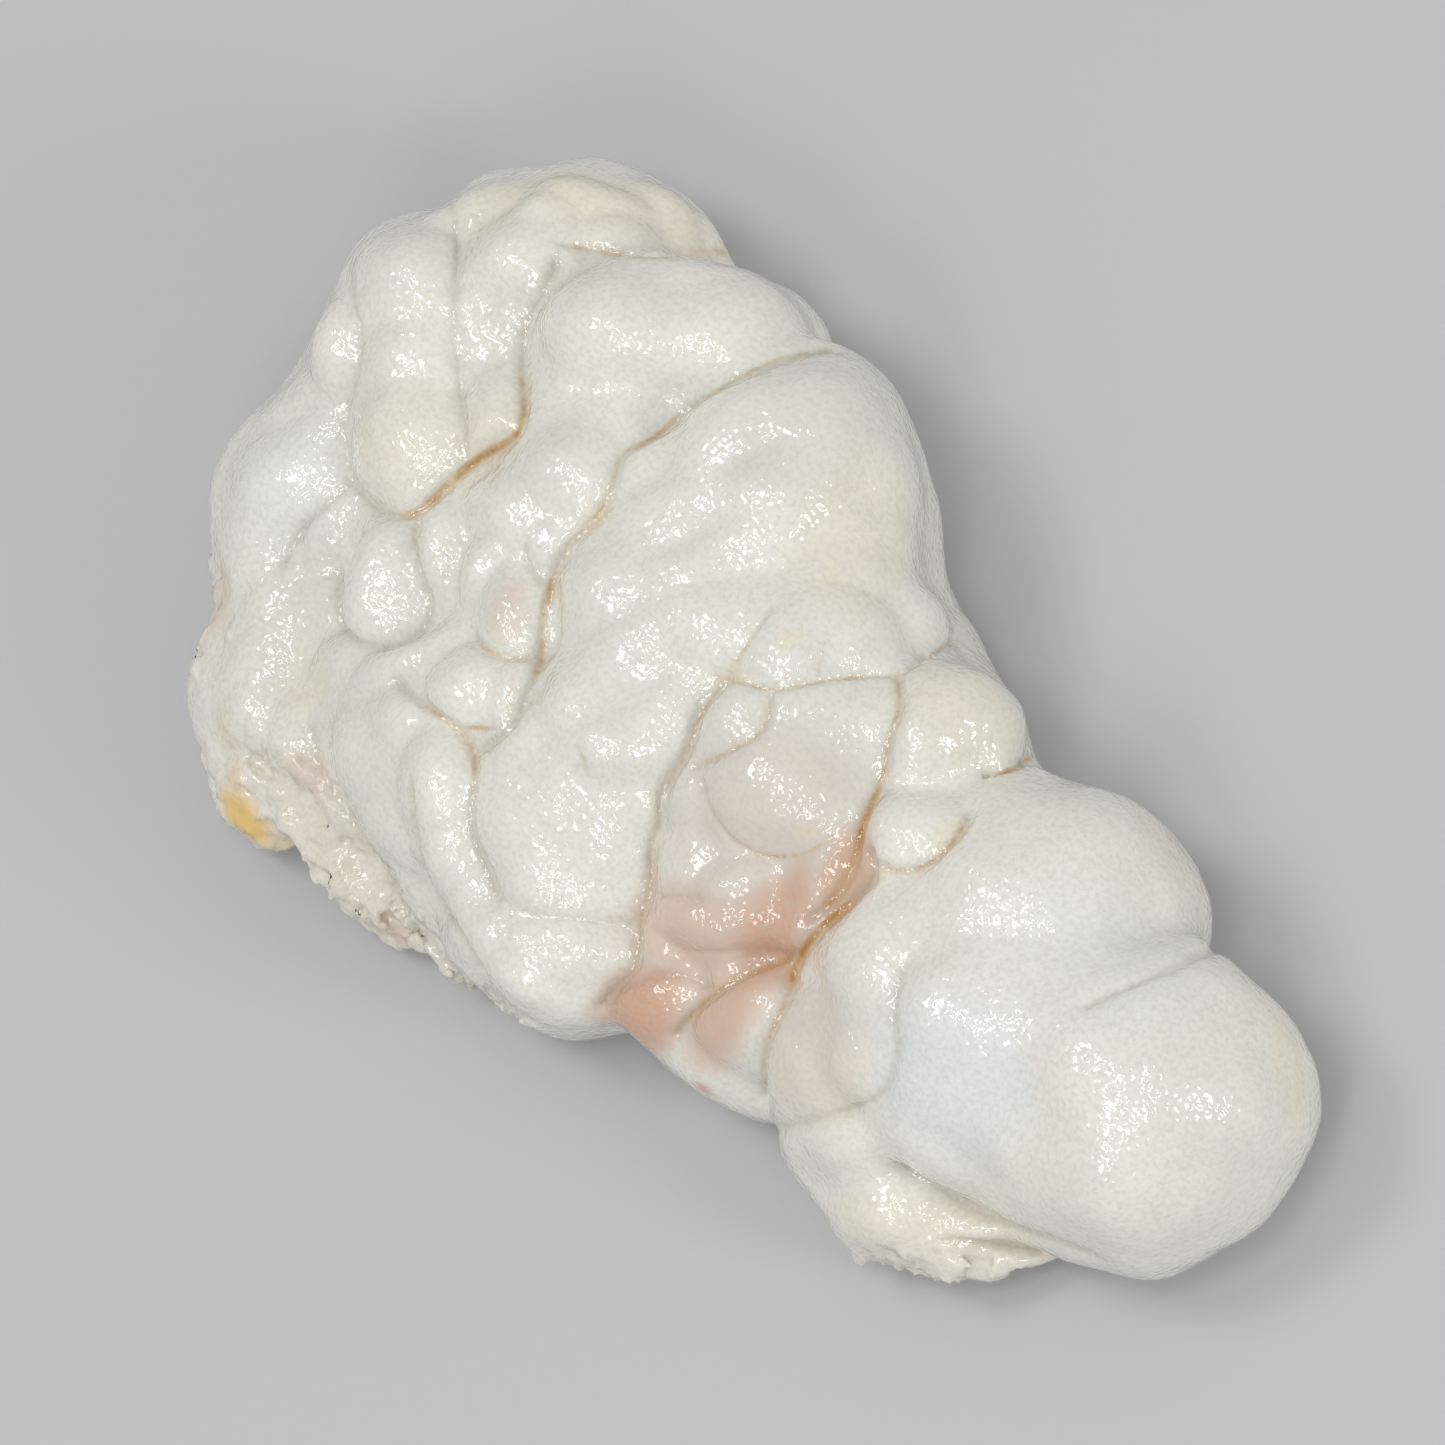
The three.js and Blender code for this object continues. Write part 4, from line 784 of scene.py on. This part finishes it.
# %% A face on each crossed grid edge
rings = []
for axis in range(3):
    after, last = (axis + 1) % 3, (axis + 2) % 3
    here = values < 0
    ahead = np.roll(here, -1, axis)
    changed = np.argwhere(here != ahead)
    has_room = (changed[:, axis] < counts[axis] - 1) & (changed[:, after] > 0) & (changed[:, last] > 0)
    changed = changed[has_room]
    goes_out = here[tuple(changed.T)]
    one_after, one_last = np.eye(3, dtype=int)[[after, last]]
    around = [changed - one_after - one_last, changed - one_last, changed, changed - one_after]
    ring = np.column_stack([point_of_cell[tuple(cell.T)] for cell in around])
    rings.append(np.where(goes_out[:, None], ring, ring[:, ::-1]))
net_faces = np.concatenate(rings)
print(len(net_faces), "four-sided faces")

# %% [markdown]
# A pit can leave a loose bubble or crumb. Each point takes the lowest number that it can reach over the
# faces, and only the largest group of points is kept.

# %% Keep the one large sheet
group = np.arange(len(net_points))
while True:
    reached = group.copy()
    np.minimum.at(reached, net_faces, group[net_faces].min(axis=1)[:, None])
    reached = reached[reached]
    if np.array_equal(reached, group):
        break
    group = reached
is_kept = group == np.bincount(group).argmax()
new_numbers = np.cumsum(is_kept) - 1
net_faces = new_numbers[net_faces[is_kept[net_faces[:, 0]]]]
net_points = net_points[is_kept]
print(np.count_nonzero(~is_kept), "loose points left out")

# %% [markdown]
# The net's points sit near the skin, but not quite on it, and gloss shows every small step. So each
# point slides along its own normal, towards where the field reads zero. The foot stays flat.

# %% Draw the points onto the skin
MOST_MOVE = 0.25 * NET_STEP
FOOT_TOLERANCE = 1e-6
MEASURE_EVERY = 50


def net_normals(points):
    a, b, c, d = (points[net_faces[:, n]] for n in range(4))
    face_normals = np.cross(c - a, d - b)
    normals = np.zeros_like(points)
    for n in range(4):
        np.add.at(normals, net_faces[:, n], face_normals)
    return unit(normals + TINY)


def drawn_to_skin(points, normals, most):
    move = np.clip(in_chunks(stone_distance, points), -most, most)
    move[np.abs(points[:, 2]) < FOOT_TOLERANCE] = 0
    drawn = points - normals * move[:, None]
    drawn[:, 2] = np.maximum(drawn[:, 2], 0)
    return drawn


for _ in range(2):
    net_points = drawn_to_skin(net_points, net_normals(net_points), MOST_MOVE)
print("largest distance left:", np.abs(stone_distance(net_points[::MEASURE_EVERY])).max().round(3), "mm")

# %% [markdown]
# A crack is narrower than a face of the net. So each face near a crease is cut into four, and its points
# are drawn onto the skin once more. A neighbour takes the new points on its edges as further corners,
# which keeps the sheet closed.

# %% The faces along the creases
FINE_REACH = 0.45


def nearest_crease(points, reach):
    """The distance to the nearest crease, at most the reach."""
    nearest = np.full(len(points), float(reach))
    for line, *_ in creases:
        close = np.flatnonzero(((points > line.min(0) - reach) & (points < line.max(0) + reach)).all(1))
        nearest[close] = np.minimum(nearest[close], distance_to_line(points[close], line))
    return nearest


is_cut = nearest_crease(net_points[net_faces].mean(axis=1) @ STONE_AXES, FINE_REACH) < FINE_REACH
cut = net_faces[is_cut]
print(len(cut), "faces to cut")

# %% Cut those faces into four
FINE_MOVE = 0.12

ends = np.sort(np.stack([cut, np.roll(cut, -1, axis=1)], axis=2).reshape(-1, 2), axis=1)
edges, edge_numbers = np.unique(ends, axis=0, return_inverse=True)
on_edge = len(net_points) + edge_numbers.reshape(-1, 4)
in_middle = len(net_points) + len(edges) + np.arange(len(cut))
old_normals = net_normals(net_points)


def with_middles(old):
    return np.concatenate([old, old[edges].mean(1), old[cut].mean(1)])


net_points, fine_normals = with_middles(net_points), unit(with_middles(old_normals))
quarters = [np.column_stack([cut[:, n], on_edge[:, n], in_middle, on_edge[:, n - 1]])
            for n in range(4)]
near_cut = np.unique(np.concatenate(quarters))
for _ in range(3):
    net_points[near_cut] = drawn_to_skin(net_points[near_cut], fine_normals[near_cut], FINE_MOVE)

added_on = {tuple(edge): len(old_normals) + n for n, edge in enumerate(edges.tolist())}
rings = np.concatenate(quarters).tolist()
for ring in net_faces[~is_cut].tolist():
    steps = zip(ring, ring[1:] + ring[:1])
    further = [(start, added_on.get((min(start, end), max(start, end)))) for start, end in steps]
    rings.append([corner for pair in further for corner in pair if corner is not None])
print(len(net_points), "points and", len(rings), "faces now")

# %% [markdown]
# ## One Blender object
# The skin takes the place of the CAD node and rides on its body. The net is in millimetres from the
# middle of the picture, so it is moved until its box has the same middle as the CAD node's box.

# %% The stone
MM = 0.001
cad_middle = np.mean(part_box("opal"), axis=0)
net_middle = (net_points.min(0) + net_points.max(0)) / 2
shift = (cad_middle - net_middle * MM) * [1, 1, 0]

opal_mesh = bpy.data.meshes.new("opal_skin")
opal_mesh.from_pydata((net_points * MM + shift).tolist(), [], rings)
opal_mesh.validate()
opal_mesh.shade_smooth()
opal_skin = bpy.data.objects.new("opal_skin", opal_mesh)
bpy.context.collection.objects.link(opal_skin)
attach(opal_skin, "root")
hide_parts("opal")
print("shift in metres:", shift[:2].round(5))

# %% [markdown]
# ## Where the colour changes
# Opal is coloured by what soaked into it. Here the deepest recess is salmon pink, drawn darker than its own
# colour as painted shade, iron has stained the creases tan, the broken rim is chalky with one amber patch,
# and the finger-like end is clear and bluish. A thin darker line along each crease is painted shade.
# Painting these would need an image. Instead each one is an oval or a line laid on the skin, and its
# strength is stored at every point of the mesh as an attribute that the material can read.

# %% Tables of tints, in millimetres
# Right, up, long half width, short half width, turn of the long one, strength.
# Salmon pink. Its colour is drawn darker than the stone's own, as painted shade in the deep recess.
PINK_AND_RECESS_SHADE = [
    (-3.2, -11.6, 3, 2, 40, 1), (0.4, -11.6, 3.2, 1.8, 38, 0.8), (2.6, -8.8, 4.4, 1.5, 42, 0.9),
    (4.8, -6.2, 3, 1.2, 58, 0.85), (-0.4, -8.8, 4.6, 2.6, 18, 0.6), (1.8, -5, 5.8, 4.8, 60, 0.15),
    (-0.5, -14.3, 0.6, 0.5, -30, 1), (3.6, -13.2, 3.4, 3, 0, 0.15), (-9.6, -11.3, 1.2, 0.5, -25, 0.6),
    (-13.2, -8.4, 1.2, 0.8, -40, 0.3), (-16.8, -2.2, 1.6, 0.8, -40, 0.3), (-19.8, 4.8, 1.7, 1, 85, 0.35),
    (-8.2, 4.2, 1.6, 1, 80, 0.35),
]
AMBER = [
    (-19.2, -3.8, 1.6, 1.2, -55, 1), (-19.4, -2.6, 1.2, 0.8, 80, 0.4), (-17.6, -4.9, 1.2, 0.7, -30, 0.4),
]
WARM = [
    (-4, 20.6, 6.4, 2.2, -10, 0.8), (-9.8, 11.2, 2.6, 1.8, 30, 0.5), (-16.2, 1, 2, 1, 0, 0.6),
    (5, 7.4, 4.4, 3, 60, 0.5), (2.7, 3.2, 0.8, 0.5, 20, 1), (4.3, 5.8, 0.9, 0.4, 60, 0.8),
    (8, 5.2, 0.9, 0.6, 40, 0.6), (3.4, -4.2, 0.7, 0.5, 30, 0.9), (0.3, 1.8, 1.4, 0.6, 10, 0.7),
    (6.1, -6, 0.8, 0.5, 0, 1), (9.2, -4.6, 1.2, 0.5, 50, 0.8), (-5.1, 8.2, 0.9, 0.5, 70, 0.9),
    (9, -20.4, 5, 1.6, -10, 0.6), (-15.4, -5.6, 5, 1.8, -40, 0.6), (18, -5, 3, 2, -50, 0.4),
    (22.4, -13.6, 3.4, 1.2, 85, 0.6), (9.5, 0.6, 3.4, 2.6, -20, 0.5), (-12.4, 11, 3, 2.6, 60, 0.4),
    (-19.6, -0.4, 1.4, 0.8, 60, 0.7),
]
CLEAR = [(9.2, -14, 4.4, 4, 0, 1), (14, -10, 6, 5, -30, 0.4), (-17, 9.6, 4, 3, 45, 0.5)]
DULL = [
    (1.6, -3.6, 5.4, 5.2, 60, 0.4), (0.4, -7.4, 3.4, 2.4, 20, 0.4), (4.2, -13, 3.2, 2.8, 0, 0.45),
    (3, 11, 3.6, 2.6, 20, 0.3), (-8.6, 4.6, 1.6, 1.2, 90, 0.3),
]
CHALKY = [
    (-17.6, -3.6, 3.6, 2.2, -35, 1), (-14.4, -6.6, 4, 1.8, -42, 0.9), (-18.6, 2.8, 3, 3, 0, 0.5),
    (-5, 20.4, 6.6, 2.6, -8, 0.6), (9, -20.8, 5.4, 1.6, -10, 0.8), (-9.6, -11.4, 4, 1.2, -25, 0.6),
    (4.2, -13.4, 3.4, 3, 0, 0.7), (0, -9.6, 5, 3.4, 20, 0.7),
]

# %% Tints laid as ovals
TINT_RIM, TINT_FULL = -0.3, 0.9
BREAK_CHALK = 0.8

skin_points = net_points @ STONE_AXES


def tint(table):
    return np.max([amount * smooth_step(share_of(skin_points, shape), TINT_RIM, TINT_FULL)
                   for shape, amount in seated_ovals(table)], axis=0)


strengths = {
    "pink": tint(PINK_AND_RECESS_SHADE), "amber": tint(AMBER), "warm": tint(WARM), "clear": tint(CLEAR),
    "dull": tint(DULL), "chalky": np.maximum(tint(CHALKY), BREAK_CHALK * break_share(skin_points)),
}
print("ovals of", ", ".join(strengths))

# %% Stains and painted shade along the creases
STAIN_FADE = 0.9
CREASE_SHADE_WIDTH = 0.16
FULL_SHADE_AT = 0.7


def laid_on_skin(lines):
    """Lays lines on the finished skin, so that a line over a crack runs along its floor."""
    lines = [rounded(line) for line in lines]
    ends = np.cumsum([len(line) for line in lines])[:-1]
    laid = places_on(np.concatenate(lines), lambda points: stone_distance(points @ STONE_AXES.T))
    return np.split(laid, ends)


def rust_tint():
    strength = np.zeros(len(skin_points))
    stains = [(line[first:last + 1], width, amount)
              for line, _, _, *stained in CREASES for first, last, width, amount in stained]
    for line, (_, width, amount) in zip(laid_on_skin([places for places, _, _ in stains]), stains):
        near = np.exp(-(distance_to_line(skin_points, line) / width) ** 2)
        from_end = np.minimum(*(np.linalg.norm(skin_points - line[end], axis=1) for end in (0, -1)))
        strength = np.maximum(strength, amount * near * smooth_step(from_end, 0, STAIN_FADE))
    return strength


# Painted shade: a darker line along each crease, fuller where the crease is deeper.
def painted_crease_shade():
    strength = np.zeros(len(skin_points))
    lines = laid_on_skin([places for places, *_ in CREASES])
    for line, (_, crack, lip, *_) in zip(lines, CREASES):
        near = np.exp(-distance_to_line(skin_points, line) / CREASE_SHADE_WIDTH)
        strength = np.maximum(strength, min((crack + lip) / FULL_SHADE_AT, 1) * near)
    return strength


strengths["rust"] = rust_tint()
strengths["crease"] = painted_crease_shade()
print("strongest rust and crease:", strengths["rust"].max().round(2), strengths["crease"].max().round(2))

# %% Strengths stored on the mesh
for name, strength in strengths.items():
    stored = opal_mesh.attributes.new(name, "FLOAT", "POINT")
    stored.data.foreach_set("value", strength.astype(np.float32))
print("stored strengths:", ", ".join(strengths))

# %% [markdown]
# ## Common opal
# Opal is hardened silica gel: water-clear in itself, but clouded white by tiny spheres and pores. The
# eye sees three things. Light goes a little way in and comes out soft, which is subsurface scattering.
# The grown skin is glossy, with an index of refraction near 1.45. And the gloss breaks up into fine
# glints, because the skin is covered in grains. An image could show all this, but noise scaled from
# real sizes stays sharp at any distance and needs no unwrapping.

# %% A material, and a helper for its nodes
common_opal = bpy.data.materials.new("common_opal")
common_opal.use_nodes = True
tree = common_opal.node_tree
tree.nodes.clear()


def from_hex(text):
    """An sRGB hex colour as the linear RGBA that Blender works in."""
    shares = [int(text[i:i + 2], 16) / 255 for i in (1, 3, 5)]
    return [s / 12.92 if s <= 0.04045 else ((s + 0.055) / 1.055) ** 2.4 for s in shares] + [1.0]


def add_node(kind, inputs=None, **settings):
    """Adds a node with its settings. An input is a number, a colour or another node's output."""
    made = tree.nodes.new(kind)
    for name, value in settings.items():
        setattr(made, name, value)
    for name, value in (inputs or {}).items():
        if isinstance(value, bpy.types.NodeSocket):
            tree.links.new(value, made.inputs[name])
        else:
            made.inputs[name].default_value = value
    return made


print("mid grey in linear light:", round(from_hex("#808080")[0], 3))

# %% Where each layer of colour shows
# Size of the spots in millimetres, detail, the noise values that turn to 0 and 1, and the least.
SPOTS = {
    "clouds": (5.0, 3.0, 0.35, 0.65, 0.0),
    "fine clouds": (1.4, 4.0, 0.3, 0.6, 0.0),
    "speckle": (0.22, 3.0, 0.42, 0.66, 0.0),
    "stain patches": (1.1, 4.0, 0.38, 0.58, 0.25),
}
STAIN_FROM, STAIN_FULL = 0.12, 0.95

coordinates = add_node("ShaderNodeTexCoord").outputs["Object"]
shares = {name: add_node("ShaderNodeAttribute", attribute_name=name).outputs["Fac"] for name in strengths}
for name, (size_mm, detail, low_end, high_end, least) in SPOTS.items():
    inputs = {"Vector": coordinates, "Scale": 1 / (size_mm * MM), "Detail": detail}
    spots = add_node("ShaderNodeTexNoise", inputs).outputs["Fac"]
    inputs = {"Value": spots, "From Min": low_end, "From Max": high_end, "To Min": least}
    shares[name] = add_node("ShaderNodeMapRange", inputs).outputs["Result"]
for name, first, second in (("chalk", "chalky", "fine clouds"), ("stain", "rust", "stain patches")):
    inputs = {0: shares[first], 1: shares[second]}
    shares[name] = add_node("ShaderNodeMath", inputs, operation="MULTIPLY").outputs["Value"]
inputs = {"Value": shares["stain"], "From Min": STAIN_FROM, "From Max": STAIN_FULL}
shares["stain"] = add_node("ShaderNodeMapRange", inputs).outputs["Result"]
print("shares:", ", ".join(shares))

# %% Layers of colour, from the lowest up
# Where it shows, the most of it that shows, and its colour.
LAYERS = [
    ("clouds", 1.0, "#f4f3ec"),  # milky
    ("clear", 1.0, "#eaf0ef"),  # clearer and bluish
    ("dull", 1.0, "#cecac5"),  # greyer
    ("warm", 0.55, "#efe2bd"),  # cream
    ("chalk", 1.0, "#f2ede0"),
    # The pink layer is real salmon, drawn darker than its own colour as painted shade in the recess.
    ("pink", 0.82, "#d09670"),  # salmon
    ("speckle", 0.35, "#cfcac0"),  # pores
    # The crease layer is painted shade in each crack, not a colour of the stone.
    ("crease", 0.45, "#94805f"),  # shade in a crack
    ("rust", 0.55, "#e8c98c"),  # edge of an iron stain
    ("stain", 1.0, "#b5802f"),  # middle of an iron stain
    ("amber", 0.85, "#f6ca60"),
]
COOL_MILK = "#ebebe5"
# The sockets of Blender's Mix node that a colour mix uses.
MIX_SHARE, MIX_FROM, MIX_TO, MIXED = 0, 6, 7, 2

colour = from_hex(COOL_MILK)
for name, most, layer_colour in LAYERS:
    share = add_node("ShaderNodeMath", {0: shares[name], 1: most}, operation="MULTIPLY").outputs["Value"]
    inputs = {MIX_SHARE: share, MIX_FROM: colour, MIX_TO: from_hex(layer_colour)}
    colour = add_node("ShaderNodeMix", inputs, data_type="RGBA").outputs[MIXED]
print(len(LAYERS), "layers of colour")

# %% Grain in the skin
# Name, size of the grains in millimetres, detail, height in millimetres, and the grain under it. The
# real glints come from grains 0.2 mm wide. At 0.27 mm they are just coarse enough to show in a picture.
GRAINS = [
    ("body", 0.7, 1.0, 0.03, None), ("swells", 0.9, 0.0, 0.08, None), ("glints", 0.27, 0.0, 0.07, "swells"),
]
normals = {}
for name, size_mm, detail, height_mm, under in GRAINS:
    inputs = {"Vector": coordinates, "Scale": 1 / (size_mm * MM), "Detail": detail}
    height = add_node("ShaderNodeTexNoise", inputs).outputs["Fac"]
    inputs = {"Height": height, "Strength": 1.0, "Distance": height_mm * MM}
    if under:
        inputs["Normal"] = normals[under]
    normals[name] = add_node("ShaderNodeBump", inputs).outputs["Normal"]
print("grains:", ", ".join(normals))

# %% The surface
# The coat is the wet-looking gloss. Its index is set above opal's own, so that the glints are as bright
# as the real ones.
BODY_ROUGHNESS, CHALK_ROUGHNESS = 0.45, 0.7
inputs = {"Value": shares["chalky"], "To Min": BODY_ROUGHNESS, "To Max": CHALK_ROUGHNESS}
roughness = add_node("ShaderNodeMapRange", inputs).outputs["Result"]
surface = add_node("ShaderNodeBsdfPrincipled", {
    "Base Color": colour, "Roughness": roughness, "IOR": 1.45, "Normal": normals["body"],
    "Specular IOR Level": 0.1,
    "Subsurface Weight": 0.2, "Subsurface Radius": (1.0, 0.85, 0.7), "Subsurface Scale": 0.25 * MM,
    "Coat Weight": 1.0, "Coat Roughness": 0.11, "Coat IOR": 1.75, "Coat Normal": normals["glints"],
}, subsurface_method="BURLEY")
add_node("ShaderNodeOutputMaterial", {"Surface": surface.outputs["BSDF"]})
opal_mesh.materials.append(common_opal)
print(len(tree.nodes), "nodes in the opal material")

# %% [markdown]
# ## Floor, light and camera
# A floor of pale matt paper, four small soft lamps and an even sky light the stone as evenly as in the
# photograph. The lamps are small, so that the grains catch them as glints. The camera looks down at
# 60 degrees, along the line of sight of the view plane. A long lens from far off keeps the view as
# flat as the view plane itself.

# %% The floor
FLOOR_GREY, PAPER_ROUGHNESS, FLOOR_WIDTH = "#c9cbcd", 0.9, 3
bpy.ops.mesh.primitive_plane_add(size=FLOOR_WIDTH)
floor = bpy.context.object
floor.name = "floor"
matt_paper = bpy.data.materials.new("matt_paper")
matt_paper.use_nodes = True
paper = matt_paper.node_tree.nodes["Principled BSDF"]
paper.inputs["Base Color"].default_value = from_hex(FLOOR_GREY)
paper.inputs["Roughness"].default_value = PAPER_ROUGHNESS
floor.data.materials.append(matt_paper)
print("floor", FLOOR_WIDTH, "m wide")

# %% The camera
FRAME_MM = 57.8
LENS_MM, SENSOR_MM = 1500, 36
SHARP_DEPTH = 9.0
NEAREST_SEEN = 0.01
towards_eye = STONE_AXES @ SIGHT
aim = SHARP_DEPTH * MM * towards_eye + shift
distance = FRAME_MM * MM * LENS_MM / SENSOR_MM
camera_data = bpy.data.cameras.new("camera")
camera_data.lens = LENS_MM
camera_data.sensor_width = SENSOR_MM
camera_data.clip_start = NEAREST_SEEN
camera = bpy.data.objects.new("camera", camera_data)
place = Matrix.Translation(Vector(aim + distance * towards_eye))
camera.matrix_world = place @ Matrix(STONE_AXES.tolist()).to_4x4()
bpy.context.collection.objects.link(camera)
bpy.context.scene.camera = camera
print("camera", round(distance, 3), "m away")

# %% The lights
# Name, the way to it as right, up and towards the eye in the picture, size in metres, power in watts.
LAMPS = [
    ("key", (-0.60, 0.34, 0.72), 0.14, 0.38),
    ("middle lamp", (-0.20, 0.10, 0.97), 0.11, 0.26),
    ("right lamp", (0.62, -0.12, 0.78), 0.11, 0.40),
    ("lower lamp", (-0.22, -0.34, 0.91), 0.11, 0.24),
]
LAMP_DISTANCE = 0.5
SKY, SKY_STRENGTH = "#f4f2ee", 0.58

for name, towards, size, power in LAMPS:
    direction = unit(STONE_AXES @ np.array(towards))
    data = bpy.data.lights.new(name, "AREA")
    data.size = size
    data.energy = power
    lamp = bpy.data.objects.new(name, data)
    lamp.location = Vector(aim + LAMP_DISTANCE * direction)
    lamp.rotation_euler = Vector(direction).to_track_quat("Z", "Y").to_euler()
    bpy.context.collection.objects.link(lamp)

world = bpy.data.worlds.new("studio")
world.use_nodes = True
background = world.node_tree.nodes["Background"].inputs
background["Color"].default_value = from_hex(SKY)
background["Strength"].default_value = SKY_STRENGTH
bpy.context.scene.world = world
bpy.context.scene.view_settings.view_transform = "Standard"
print(len(LAMPS), "lamps, and the sky at", SKY_STRENGTH)
